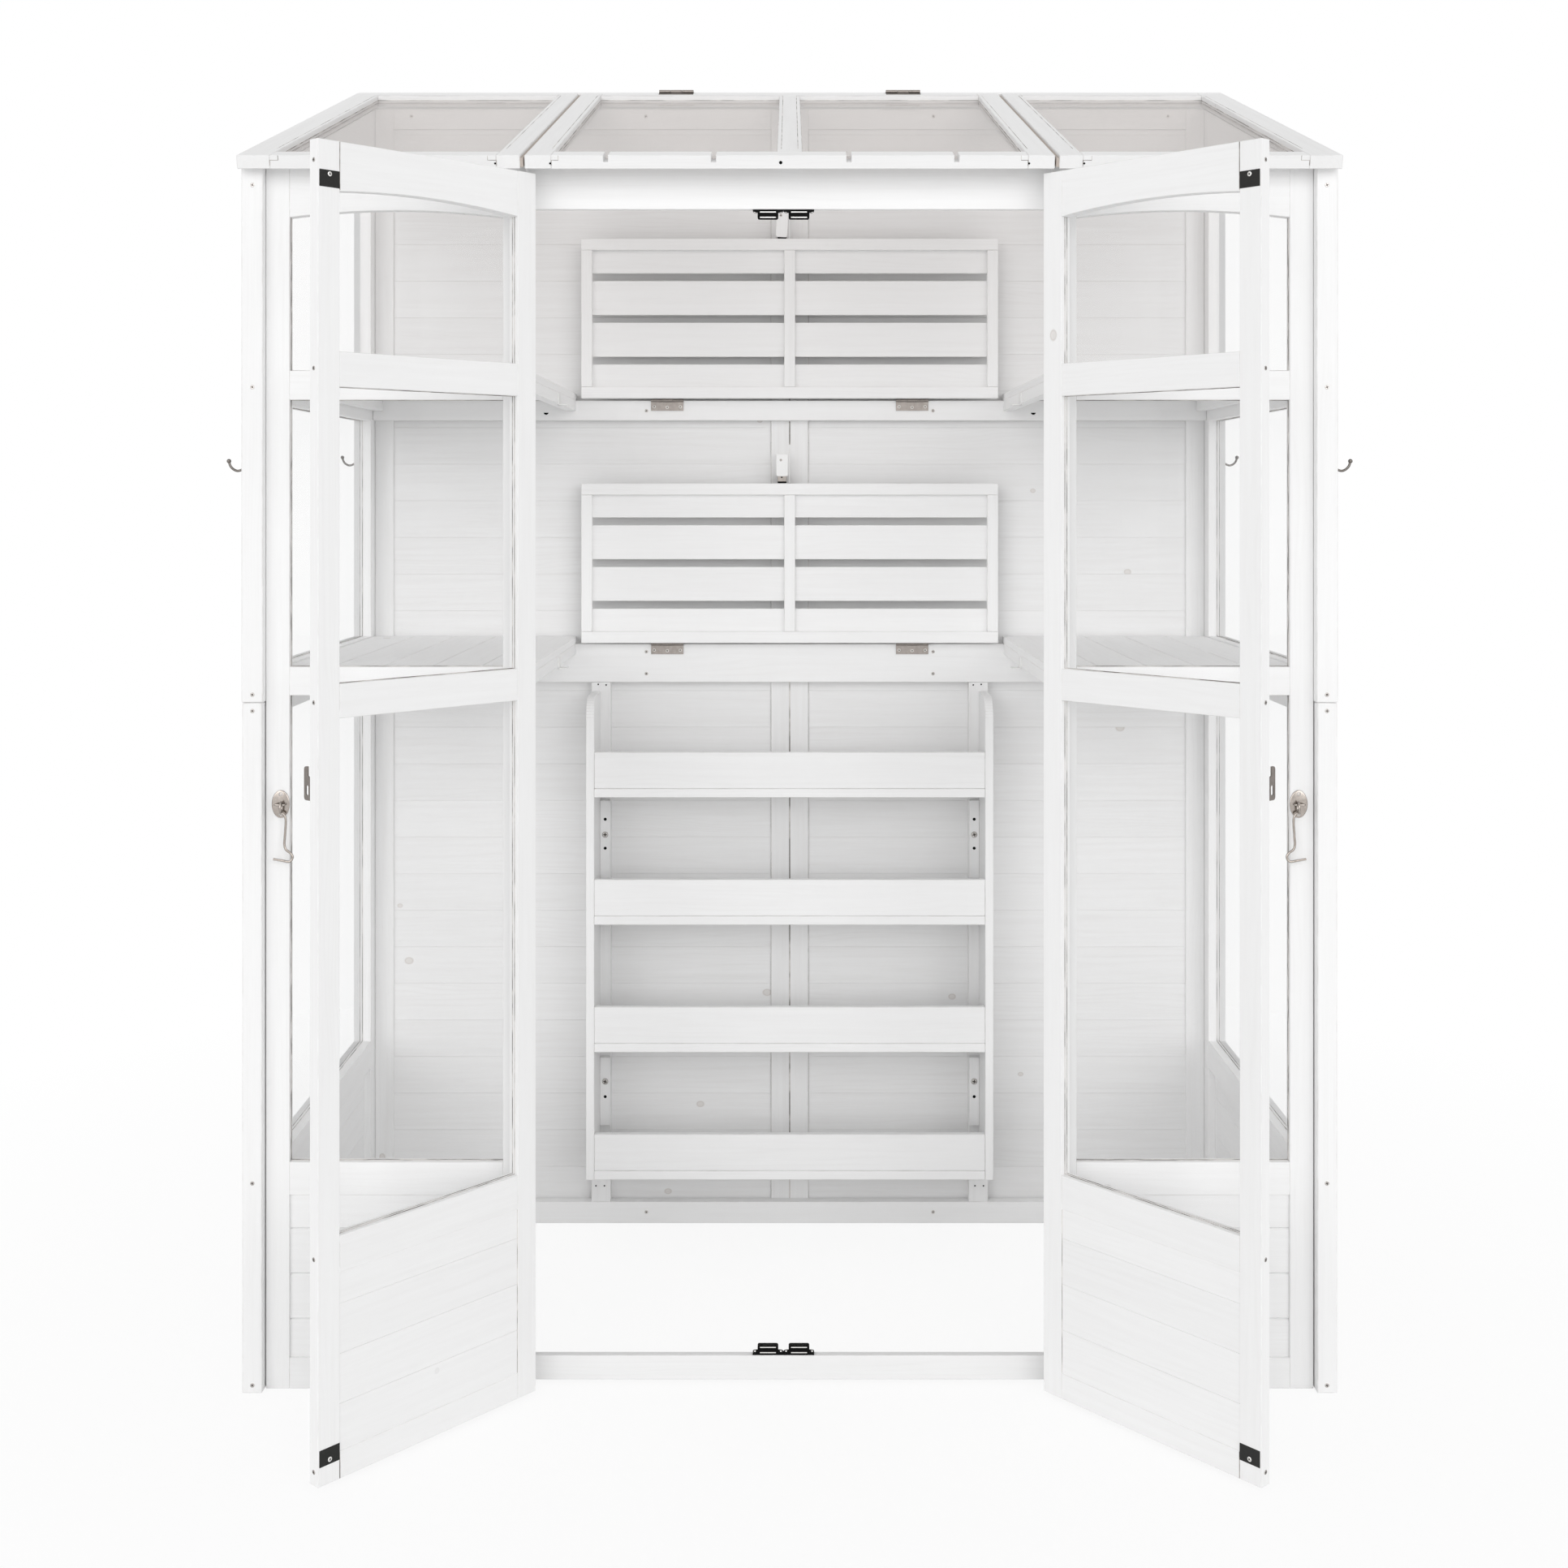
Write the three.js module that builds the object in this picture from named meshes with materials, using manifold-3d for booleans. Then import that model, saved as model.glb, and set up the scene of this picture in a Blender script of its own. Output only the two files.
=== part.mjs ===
// White wooden walk-in greenhouse with a lean-to roof that slopes down to the front.
// Millimetres. +X to the right seen from the front, +Y to the back, +Z up from the ground.
// The front face of the corner posts lies at Y 0 until the whole is centred at the end.
import * as THREE from 'three';
import { mergeVertices } from 'three/addons/utils/BufferGeometryUtils.js';
import Module from 'manifold-3d';

const wasm = await Module();
wasm.setup();

// Fits
const seatGap = 0.3;
const runningGap = 0.3;
const glueLap = 1;

// Roof
const roofPitch = THREE.MathUtils.degToRad(17.5);
const roofLowEdge = 1746.4;
const roofForward = 21.1;
const roofLength = 822;
const roofBoard = 19.5;
const roofCentreHalf = 376;
const roofSideGap = 2;
const roofFrontRail = 38;
const roofRearRail = 45;
const roofOuterStile = 47;
const roofInnerStile = 38;
const roofMullion = 36;
const drainWidth = 7;
const drainDepth = 10;
const drainSpread = 249;
const drainInner = 96;
const drainShift = -12;
const rearRailBoard = 18;
const rearRailHeight = 45;

// Corner posts
const halfWidth = 784;
const postWidth = 31;
const postDepth = 33;
const postSeam = 987;
const postSetIn = 1.2;

// Framed leaves, shared by front panels and doors
const leafBoard = 18;
const stileWidth = 34;
const tongueBoard = 10;
const tonguePitch = 65;
const tongueCount = 3;
const vDepth = 2;
const vWidth = 4;
const glazingSheet = 4;
const glazingBite = 8;

// Front panels beside the doors
const shadowGap = 5;
const doorwayHalf = 378;
const panelBottomRail = 44.5;
const sillBottom = 278;
const sillTop = 325.5;
const panelLowRail = [996, 1037];
const panelHighRail = [1420.6, 1462.6];
const panelArchEnd = 1683;
const panelArchMiddle = 1693;
const panelFirstJoint = 98.6;

// Lintel and threshold, the two boards the doors close against
const stopBoard = 12;
const stopHalfWidth = 412;
const lintelBottom = 1697;
const thresholdBottom = 5;
const thresholdTop = 40;

// Doors
const doorProud = 1.5;
const doorBottom = 5;
const doorTop = 1743;
const doorHingeEdge = 375.2;
const doorMeetingEdge = 2.5;
const doorBottomRail = 36;
const doorSill = [273, 321];
const doorLowRail = [993, 1038];
const doorHighRail = [1424, 1470];
const doorArchEnd = 65;
const doorArchMiddle = 57;
const doorFirstJoint = 102;
const doorOpenAngle = THREE.MathUtils.degToRad(131);
const strikeWidth = 27;
const strikePlate = 1.1;
const strikeInset = 2;
const strikeTop = [1682, 1708];
const strikeBottom = [28, 62];

// Butt hinges of the doors
const doorHingeHeights = [160, 880, 1590];
const doorHingeLength = 60;
const doorKnuckle = 3;
const hingePin = 1.5;
const hingeLeaf = 1.2;
const doorLeafDepth = 17;
const hingeFacets = 12;

// Side walls
const wallBoard = 30;
const wallSetIn = 18;
const wallBack = 705;
const wallStile = 52;
const wallBottomRail = 44.5;
const wallLowRail = [970, 1037];
const wallHighRail = [1416, 1463];
const wallTopRail = 62;
const wallBoardsInset = 12;
const wallFirstJoint = 98.6;

// Back wall in two halves
const backFace = 686;
const backStile = 33;
const backBottomRail = 35;
const backTopRail = 35;
const backFirstJoint = 93;
const backLowerCount = 14;
const backUpperJoint = 1080;
const backUpperCount = 14;
const studRange = [316, 350];
const studBottom = 38;
const catchBlockX = [2.9, 23.6];
const catchBlockDepth = 38;
const catchBlockHeight = 38;
const shelfMagnetHeight = 11.5;
const shelfMagnetInset = 2;

// Hinge rails and folding shelves on the back wall
const hingeRailBoard = 18;
const lowerHingeRail = [955, 1022.5];
const upperHingeRail = [1417, 1452];
const shelfKnuckle = 2.6;
const shelfHingeLength = 57;
const shelfHingeSpread = 216;
const shelfLeafHeight = 18;
const foldingHalf = 365.7;
const foldingDepth = 280;
const foldingSlat = 60;
const foldingSlatBoard = 9.5;
const foldingBattenBoard = 9.5;
const foldingEdgeBatten = 20;
const foldingStile = 19;
const foldingSlatCount = 4;
const foldingStandOff = 3;
const catchClearance = 1;

// Side shelves
const shelfInner = 377.5;
const shelfBoard = 12;
const shelfBoardCount = 5;
const shelfBoardGap = 1;
const bearerWidth = 18;
const bearerHeight = 18.5;
const tabPlate = 2;
const tabReach = 15.5;
const tabLength = 30;
const tabHeight = 17;
const tabY = 407;

// Plant rack
const rackSide = [334, 348];
const rackFront = 554;
const rackBottom = 115;
const rackTop = 939;
const rackCorner = 34;
const rackShelfBoard = 15;
const rackShelfTop = 131;
const rackPitch = 217.5;
const rackShelfCount = 4;
const rackDado = 4.5;
const rackLip = 1.5;
const rackApron = 12;
const rackApronHeight = 62;
const rackBatten = 19;
const rackBattenBoard = 12;
const rackBattenHigh = [611, 748];
const rackBattenLow = [176, 296];
const plugHoleRadius = 3.2;
const plugHoleInset = 37;

// Magnetic catches
const catchBoxHeight = 13.4;
const catchBox = 30;
const catchEar = 7;
const catchFlange = 3.2;
const catchEarTip = 1.2;
const catchEarGap = 1;
const catchShift = -9;
const catchCorner = 3;
const catchBoxSetIn = 2;
const catchScrewRadius = 1.6;

// Hasp plates on the doors
const haspZ = [888, 932];
const haspPlate = 1.5;
const haspLeaf = 22;
const haspReach = 12;
const haspCorner = 5;
const haspNotchDepth = 3.5;
const haspNotchHeight = 14;
const haspSlot = [5.5, 13.5];
const haspSlotRise = 13;

// Cabin hooks that hold the open doors
const hookHeight = 840;
const hookOval = [12.8, 19.8];
const hookPlateBoard = 1.5;
const hookStapleOut = 8;
const hookStapleHalf = 7;
const hookStapleWire = 1.5;
const hookStapleCorner = 2.5;
const hookWire = 1.7;
const hookEye = [5.4, 7];
const hookEyeShift = 2.5;
const hookEyeMouth = THREE.MathUtils.degToRad(22);
const hookBends = [
  [0.6, -11.2], [5.4, -12.6], [8.9, -18], [8.2, -45], [7.6, -57], [9.6, -63.6], [16.5, -69.2],
  [19.2, -74.6], [15.4, -80.8], [4, -79.6], [-8.4, -77.4],
];

// Tool hooks on the outer faces
const toolHookWire = 1.8;
const toolHookBall = 3.2;
const toolHookRoot = 6;
const toolHookBends = [[-3, 5], [1.2, 2.6], [5, 0.8], [9.5, 0], [15, 2.2], [19.5, 7], [21.6, 14]];
const toolHookFront = [16, 1318.6];
const toolHookRear = [661, 1337.3];
const smallFacets = 8;
const eyeBends = 9;
const ballFacets = 10;
const ballRings = 6;
const curveSteps = 8;
const wireSteps = 3;

// Roof hinges
const roofHingeSpread = 205;
const roofHingeLength = 62;
const roofKnuckle = 3;
const roofLeafDepth = 15;

// Shares
const knuckleShare = 1 / 3;
const blankShare = 2;

const tall = roofLowEdge * blankShare;
const panelBack = postDepth;
const panelFront = panelBack - leafBoard;
const panelOuter = halfWidth - postWidth - shadowGap;
const behindPanel = panelBack + seatGap;
const wallOuter = halfWidth - wallSetIn;
const wallInner = wallOuter - wallBoard;
const backEnd = backFace + leafBoard;
const railFront = backFace - seatGap - hingeRailBoard;
const doorFront = panelFront - doorProud;
const doorBack = doorFront + leafBoard;
const doorPinY = panelFront - doorKnuckle - runningGap;
const doorPinX = doorwayHalf - seatGap - hingeLeaf;
const shelfPinY = railFront - seatGap - shelfKnuckle;

function roofUnder(y) {
  return roofLowEdge + (y + roofForward) * Math.tan(roofPitch);
}

function underRoof(y) {
  return roofUnder(y) - seatGap;
}

// Solids from geometry

const basisX = new THREE.Vector3(1, 0, 0);
const basisY = new THREE.Vector3(0, 1, 0);
const basisZ = new THREE.Vector3(0, 0, 1);
const facingX = new THREE.Matrix4().makeBasis(basisY, basisZ, basisX);
const facingY = new THREE.Matrix4().makeBasis(basisX, basisZ, basisY.clone().negate());

function solid(geometry) {
  geometry.deleteAttribute('normal');
  geometry.deleteAttribute('uv');
  const merged = mergeVertices(geometry);
  return new wasm.Manifold(new wasm.Mesh({
    numProp: 3,
    vertProperties: new Float32Array(merged.attributes.position.array),
    triVerts: new Uint32Array(merged.index.array),
  }));
}

function sorted(range) {
  return [Math.min(...range), Math.max(...range)];
}

function block(xs, ys, zs) {
  const [x, y, z] = [sorted(xs), sorted(ys), sorted(zs)];
  const geometry = new THREE.BoxGeometry(x[1] - x[0], y[1] - y[0], z[1] - z[0]);
  geometry.translate((x[0] + x[1]) / 2, (y[0] + y[1]) / 2, (z[0] + z[1]) / 2);
  return solid(geometry);
}

function outline(points) {
  return new THREE.Shape(points.map(([a, b]) => new THREE.Vector2(a, b)));
}

function extrude(shape, depth) {
  return new THREE.ExtrudeGeometry(shape, { depth, bevelEnabled: false, curveSegments: curveSteps });
}

// Outline in Y and Z, run along X
function prismX(shape, xs) {
  const x = sorted(xs);
  const geometry = extrude(shape, x[1] - x[0]).applyMatrix4(facingX);
  return solid(geometry.translate(x[0], 0, 0));
}

// Outline in X and Z, run along Y
function prismY(shape, ys) {
  const y = sorted(ys);
  const geometry = extrude(shape, y[1] - y[0]).applyMatrix4(facingY);
  return solid(geometry.translate(0, y[1], 0));
}

function rod(axis, radius, centre, length, facets = hingeFacets) {
  const geometry = new THREE.CylinderGeometry(radius, radius, length, facets);
  if (axis === 'x') {
    geometry.rotateZ(Math.PI / 2);
  }
  if (axis === 'z') {
    geometry.rotateX(Math.PI / 2);
  }
  return solid(geometry.translate(...centre));
}

function wireAlong(path, steps, radius) {
  const ring = outline(Array.from({ length: smallFacets }, (_, step) => {
    const turn = (step / smallFacets) * Math.PI * 2;
    return [radius * Math.cos(turn), radius * Math.sin(turn)];
  }));
  return solid(new THREE.ExtrudeGeometry(ring, { steps, extrudePath: path, bevelEnabled: false }));
}

// Round wire on a smooth curve through its bends
function wire(bends, radius) {
  return wireAlong(new THREE.CatmullRomCurve3(bends), (bends.length - 1) * wireSteps, radius);
}

// Round wire of straight runs with eased corners
function bentWire(corners, ease, radius) {
  const path = new THREE.CurvePath();
  let start = corners[0];
  corners.slice(1).forEach((corner, number) => {
    const next = corners[number + 2];
    const end = next ? corner.clone().add(start.clone().sub(corner).setLength(ease)) : corner;
    path.add(new THREE.LineCurve3(start, end));
    if (next) {
      start = corner.clone().add(next.clone().sub(corner).setLength(ease));
      path.add(new THREE.QuadraticBezierCurve3(end, corner, start));
    }
  });
  return wireAlong(path, path.curves.length * wireSteps, radius);
}

function join(...parts) {
  return parts.reduce((whole, part) => whole.add(part));
}

// Materials

const whitewashed = new THREE.MeshStandardMaterial({ color: 0xebe9e6, roughness: 0.62, metalness: 0 });
const polycarbonate = new THREE.MeshStandardMaterial({
  color: 0xe8eef0, roughness: 0.12, metalness: 0, transparent: true, opacity: 0.3,
});
const zinc = new THREE.MeshStandardMaterial({ color: 0xa9a29c, roughness: 0.42, metalness: 0.9 });
const nickel = new THREE.MeshStandardMaterial({ color: 0xb9b3ad, roughness: 0.22, metalness: 1 });
const blackPlastic = new THREE.MeshStandardMaterial({ color: 0x1b1c1b, roughness: 0.5, metalness: 0 });

const greenhouse = new THREE.Group();
greenhouse.name = 'greenhouse';
const sides = { left: -1, right: 1 };

function place(name, body, material, matrix) {
  const { vertProperties, triVerts } = body.getMesh();
  const geometry = new THREE.BufferGeometry();
  geometry.setAttribute('position', new THREE.BufferAttribute(new Float32Array(vertProperties), 3));
  geometry.setIndex(new THREE.BufferAttribute(new Uint32Array(triVerts), 1));
  if (matrix) {
    geometry.applyMatrix4(matrix);
  }
  const flat = geometry.toNonIndexed();
  flat.computeVertexNormals();
  const mesh = new THREE.Mesh(flat, material);
  mesh.name = name;
  greenhouse.add(mesh);
}

// Both ends of a stretch, measured out from the centre line on one side
function across(side, from, to) {
  return sorted([side * from, side * to]);
}

const overRoof = prismX(outline([
  [-roofForward * blankShare, underRoof(-roofForward * blankShare)],
  [wallBack * blankShare, underRoof(wallBack * blankShare)],
  [wallBack * blankShare, tall],
  [-roofForward * blankShare, tall],
]), [-halfWidth * blankShare, halfWidth * blankShare]);

// A block in a leaf that stands across the front or along a side
function slab(plane, along, through, up) {
  return plane === 'front' ? block(along, through, up) : block(through, along, up);
}

// One V groove between two tongued boards
function vJoint(plane, face, inward, along, height) {
  const groove = outline([
    [face, height - vWidth / 2],
    [face + inward * vDepth, height],
    [face, height + vWidth / 2],
  ]);
  return plane === 'front' ? prismX(groove, along) : prismY(groove, along);
}

// Sinks a boarded field into a leaf from both faces and cuts the V joints of its outer face
function boardedField(leaf, { plane, outward, along, through, boards, up, firstJoint, joints }) {
  const outerFace = outward < 0 ? boards[0] : boards[1];
  let cut = leaf
    .subtract(slab(plane, along, [through[0], boards[0]], up))
    .subtract(slab(plane, along, [boards[1], through[1]], up));
  for (let number = 0; number < joints; number += 1) {
    const height = firstJoint + number * tonguePitch;
    cut = cut.subtract(vJoint(plane, outerFace, -outward, along, height));
  }
  return cut;
}

function middleOf(range) {
  return (range[0] + range[1]) / 2;
}

function middle(range, width) {
  const centre = middleOf(range);
  return [centre - width / 2, centre + width / 2];
}

function widened(range, by) {
  return [range[0] - by, range[1] + by];
}

// Top light of a front leaf, closed by a shallow arch
function archedLight(along, bottom, archEnd, archMiddle, through) {
  const shape = new THREE.Shape();
  shape.moveTo(along[0], bottom);
  shape.lineTo(along[1], bottom);
  shape.lineTo(along[1], archEnd);
  const control = archMiddle + (archMiddle - archEnd);
  shape.quadraticCurveTo(middleOf(along), control, along[0], archEnd);
  return prismY(shape, through);
}

// Front leaf with three lights over a boarded field, and its glazing sheet
function glazedLeaf(spec) {
  const { along, through, up, bottomRail, sill, low, high, archEnd, archMiddle, firstJoint } = spec;
  const opening = widened(along, -stileWidth);
  const sheetThrough = middle(through, glazingSheet);
  const sheetUp = [sill[1] - glazingBite, archMiddle + glazingBite];
  const sheetAlong = widened(opening, glazingBite);
  let leaf = block(along, through, up)
    .subtract(block(opening, through, [sill[1], low[0]]))
    .subtract(block(opening, through, [low[1], high[0]]))
    .subtract(archedLight(opening, high[1], archEnd, archMiddle, through));
  leaf = boardedField(leaf, {
    plane: 'front',
    outward: -1,
    along: opening,
    through,
    boards: middle(through, tongueBoard),
    up: [bottomRail, sill[0]],
    firstJoint,
    joints: tongueCount,
  });
  const groove = block(
    widened(sheetAlong, seatGap),
    widened(sheetThrough, seatGap),
    widened(sheetUp, seatGap),
  );
  return { leaf: leaf.subtract(groove), sheet: block(sheetAlong, sheetThrough, sheetUp) };
}

// The three knuckles of a butt hinge along its pin, the middle one on the moving leaf
function hingeLengths(length) {
  const third = length * knuckleShare;
  const end = length / 2;
  const start = third / 2 + runningGap;
  return { third, outer: [-end, -start], inner: [start, end] };
}

// Corner posts
for (const [word, side] of Object.entries(sides)) {
  const postX = across(side, halfWidth - postWidth, halfWidth);
  const lowX = across(side, halfWidth - postWidth + postSetIn, halfWidth - postSetIn);
  place(`corner_post_${word}_lower`, block(lowX, [0, postDepth], [0, postSeam - seatGap]), whitewashed);
  const upper = block(postX, [0, postDepth], [postSeam, tall]).subtract(overRoof);
  place(`corner_post_${word}_upper`, upper, whitewashed);
}

// Front panels with their glazing
for (const [word, side] of Object.entries(sides)) {
  const { leaf, sheet } = glazedLeaf({
    along: across(side, doorwayHalf, panelOuter),
    through: [panelFront, panelBack],
    up: [0, tall],
    bottomRail: panelBottomRail,
    sill: [sillBottom, sillTop],
    low: panelLowRail,
    high: panelHighRail,
    archEnd: panelArchEnd,
    archMiddle: panelArchMiddle,
    firstJoint: panelFirstJoint,
  });
  place(`front_panel_${word}`, leaf.subtract(overRoof), whitewashed);
  place(`front_glazing_${word}`, sheet, polycarbonate);
}

// Lintel and threshold behind the front panels
const stopDepth = [behindPanel, behindPanel + stopBoard];
const lintel = block([-stopHalfWidth, stopHalfWidth], stopDepth, [lintelBottom, tall]).subtract(overRoof);
place('lintel', lintel, whitewashed);
const threshold = block([-stopHalfWidth, stopHalfWidth], stopDepth, [thresholdBottom, thresholdTop]);
place('threshold', threshold, whitewashed);

// Side walls: a stile at each end, four rails and a boarded field, glazed above it
const wallFront = behindPanel;
for (const [word, side] of Object.entries(sides)) {
  const through = across(side, wallInner, wallOuter);
  const boards = across(side, wallInner + wallBoardsInset, wallInner + wallBoardsInset + tongueBoard);
  const opening = [wallFront + wallStile, wallBack - wallStile];
  const topLight = (spread) => outline([
    [opening[0] - spread, wallHighRail[1]],
    [opening[1] + spread, wallHighRail[1]],
    [opening[1] + spread, underRoof(opening[1]) - wallTopRail + spread],
    [opening[0] - spread, underRoof(opening[0]) - wallTopRail + spread],
  ]);
  const wholeSheet = (spread) => outline([
    [opening[0] - spread, sillTop - spread],
    [opening[1] + spread, sillTop - spread],
    [opening[1] + spread, underRoof(opening[1]) - wallTopRail + spread],
    [opening[0] - spread, underRoof(opening[0]) - wallTopRail + spread],
  ]);
  const sheetX = middle(boards, glazingSheet);
  let wall = block(through, [wallFront, wallBack], [0, tall])
    .subtract(block(through, opening, [sillTop, wallLowRail[0]]))
    .subtract(block(through, opening, [wallLowRail[1], wallHighRail[0]]))
    .subtract(prismX(topLight(0), through));
  wall = boardedField(wall, {
    plane: 'side',
    outward: side,
    along: opening,
    through,
    boards,
    up: [wallBottomRail, sillBottom],
    firstJoint: wallFirstJoint,
    joints: tongueCount,
  });
  wall = wall.subtract(prismX(wholeSheet(glazingBite + seatGap), widened(sheetX, seatGap)));
  place(`side_wall_${word}`, wall.subtract(overRoof), whitewashed);
  place(`side_glazing_${word}`, prismX(wholeSheet(glazingBite), sheetX), polycarbonate);
}

// Back wall in two halves, with the wall studs of the rack and the shelf catch blocks
const foldedTop = (rail) => rail[1] + foldingStandOff + foldingDepth;
for (const [word, side] of Object.entries(sides)) {
  const outer = wallInner - seatGap;
  const opening = across(side, seatGap + backStile, outer - backStile);
  const through = [backFace, backEnd];
  const boards = middle(through, tongueBoard);
  const fieldTop = underRoof(backFace) - backTopRail;
  let wall = block(across(side, seatGap, outer), through, [0, tall]);
  const fields = [
    { up: [backBottomRail, lowerHingeRail[0]], firstJoint: backFirstJoint, joints: backLowerCount },
    { up: [lowerHingeRail[1], fieldTop], firstJoint: backUpperJoint, joints: backUpperCount },
  ];
  for (const field of fields) {
    wall = boardedField(wall, { plane: 'front', outward: 1, along: opening, through, boards, ...field });
  }
  const studTop = lowerHingeRail[0] - seatGap;
  const studY = [railFront, boards[0] + glueLap];
  wall = wall.add(block(across(side, ...studRange), studY, [studBottom, studTop]));
  if (side < 0) {
    for (const rail of [lowerHingeRail, upperHingeRail]) {
      const magnetZ = foldedTop(rail) + catchClearance;
      const bottom = magnetZ + shelfMagnetHeight;
      const blockY = [backFace - catchBlockDepth, backFace + glueLap];
      const magnetX = widened(across(side, ...catchBlockX), -shelfMagnetInset);
      const magnetY = [blockY[0] + shelfMagnetInset, blockY[1]];
      wall = wall
        .add(block(across(side, ...catchBlockX), blockY, [bottom, bottom + catchBlockHeight]))
        .add(block(magnetX, magnetY, [magnetZ, bottom + glueLap]));
    }
  }
  place(`back_wall_${word}`, wall.subtract(overRoof), whitewashed);
}

// Doors, built shut and turned open about their pins
const strikeY = [doorBack - glueLap, doorBack + strikePlate];
for (const [word, side] of Object.entries(sides)) {
  const pin = new THREE.Vector3(side * doorPinX, doorPinY, 0);
  const opened = new THREE.Matrix4()
    .makeTranslation(pin.x, pin.y, pin.z)
    .multiply(new THREE.Matrix4().makeRotationZ(side * doorOpenAngle))
    .multiply(new THREE.Matrix4().makeTranslation(-pin.x, -pin.y, -pin.z));
  const { leaf, sheet } = glazedLeaf({
    along: across(side, doorMeetingEdge, doorHingeEdge),
    through: [doorFront, doorBack],
    up: [doorBottom, doorTop],
    bottomRail: doorBottom + doorBottomRail,
    sill: doorSill,
    low: doorLowRail,
    high: doorHighRail,
    archEnd: doorTop - doorArchEnd,
    archMiddle: doorTop - doorArchMiddle,
    firstJoint: doorFirstJoint,
  });
  let door = leaf;
  const strikeX = across(side, doorMeetingEdge + strikeInset, doorMeetingEdge + strikeInset + strikeWidth);
  for (const strike of [strikeTop, strikeBottom]) {
    door = door.add(block(strikeX, strikeY, strike));
  }
  const { third, outer, inner } = hingeLengths(doorHingeLength);
  doorHingeHeights.forEach((height, number) => {
    const centre = [pin.x, pin.y, height];
    const at = (range) => [height + range[0], height + range[1]];
    const clear = doorKnuckle + runningGap;
    const leafY = [pin.y, pin.y + doorLeafDepth];
    const farLeafY = [pin.y + clear, leafY[1]];
    const middleThird = [-third / 2, third / 2];
    const half = [-doorHingeLength / 2, doorHingeLength / 2];
    const bore = rod('z', hingePin + runningGap, centre, doorHingeLength);
    const doorLeafX = across(side, doorHingeEdge - glueLap, doorPinX - runningGap);
    const fixedLeafX = across(side, doorPinX, doorPinX + hingeLeaf);
    door = door
      .subtract(rod('z', clear, centre, doorHingeLength + runningGap * 2))
      .add(block(doorLeafX, farLeafY, at(half)))
      .add(block(doorLeafX, leafY, at(middleThird)))
      .add(rod('z', doorKnuckle, centre, third))
      .subtract(bore);
    const knuckles = [outer, inner].map((range) => join(
      rod('z', doorKnuckle, [pin.x, pin.y, middleOf(at(range))], range[1] - range[0]),
      block(fixedLeafX, leafY, at(range)),
    ));
    const fixed = join(
      ...knuckles,
      block(fixedLeafX, farLeafY, at(half)),
      rod('z', hingePin, centre, doorHingeLength - glueLap),
    );
    place(`door_hinge_${word}_${['low', 'mid', 'high'][number]}`, fixed, zinc);
  });
  place(`door_${word}`, door, whitewashed, opened);
  place(`door_glazing_${word}`, sheet, polycarbonate, opened);

  // Hasp plate at the meeting edge: a screwed leaf and a flange that stands out for the padlock
  const haspBack = doorFront - seatGap;
  const haspFront = haspBack - haspReach;
  const flangeX = across(side, doorMeetingEdge, doorMeetingEdge + haspPlate);
  const leafX = across(side, doorMeetingEdge, doorMeetingEdge + haspLeaf);
  const flange = new THREE.Shape();
  flange.moveTo(haspBack, haspZ[0]);
  flange.lineTo(haspBack, haspZ[1] - haspNotchHeight);
  flange.lineTo(haspBack - haspNotchDepth, haspZ[1] - haspNotchHeight + haspNotchDepth / 2);
  flange.lineTo(haspBack - haspNotchDepth, haspZ[1]);
  flange.lineTo(haspFront + haspCorner, haspZ[1]);
  flange.quadraticCurveTo(haspFront, haspZ[1], haspFront, haspZ[1] - haspCorner);
  flange.lineTo(haspFront, haspZ[0] + haspCorner);
  flange.quadraticCurveTo(haspFront, haspZ[0], haspFront + haspCorner, haspZ[0]);
  const slotCentre = haspBack - haspReach / 2 + haspPlate / 2;
  const slotEnd = haspSlot[0] / 2;
  const slotRise = haspZ[0] + haspSlotRise;
  const slotZ = widened(middle([slotRise, slotRise], haspSlot[1]), -slotEnd);
  let hasp = prismX(flange, flangeX);
  hasp = hasp.add(block(leafX, [haspBack - haspPlate, haspBack], [haspZ[0], haspZ[1] - haspNotchHeight]));
  const slotY = middle([slotCentre, slotCentre], haspSlot[0]);
  hasp = hasp.subtract(block(widened(flangeX, glueLap), slotY, slotZ));
  for (const end of slotZ) {
    hasp = hasp.subtract(rod('x', slotEnd, [middleOf(flangeX), slotCentre, end], haspPlate + glueLap * 2));
  }
  place(`hasp_${word}`, hasp, zinc, opened);
}

// Roof, laid out flat and then tipped up about the front edge of its underside
const tipped = new THREE.Matrix4()
  .makeTranslation(0, -roofForward, roofLowEdge)
  .multiply(new THREE.Matrix4().makeRotationX(roofPitch));
const roofRun = [0, roofLength];
const roofUp = [0, roofBoard];
const roofLight = [roofFrontRail, roofLength - roofRearRail];
const roofSheetUp = middle(roofUp, glazingSheet);
const roofPin = [roofLength + seatGap / 2, roofBoard + seatGap + roofKnuckle];

function roofPane(frame, opening) {
  const sheet = (spread) => [
    widened(opening, glazingBite + spread),
    widened(roofLight, glazingBite + spread),
    widened(roofSheetUp, spread),
  ];
  const cut = frame.subtract(block(opening, roofLight, roofUp)).subtract(block(...sheet(seatGap)));
  return { cut, pane: block(...sheet(0)) };
}

for (const [word, side] of Object.entries(sides)) {
  const frameX = [roofCentreHalf + roofSideGap, halfWidth];
  const opening = across(side, frameX[0] + roofInnerStile, frameX[1] - roofOuterStile);
  const { cut, pane } = roofPane(block(across(side, ...frameX), roofRun, roofUp), opening);
  place(`roof_panel_${word}`, cut, whitewashed, tipped);
  place(`roof_glazing_${word}`, pane, polycarbonate, tipped);
}

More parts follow.
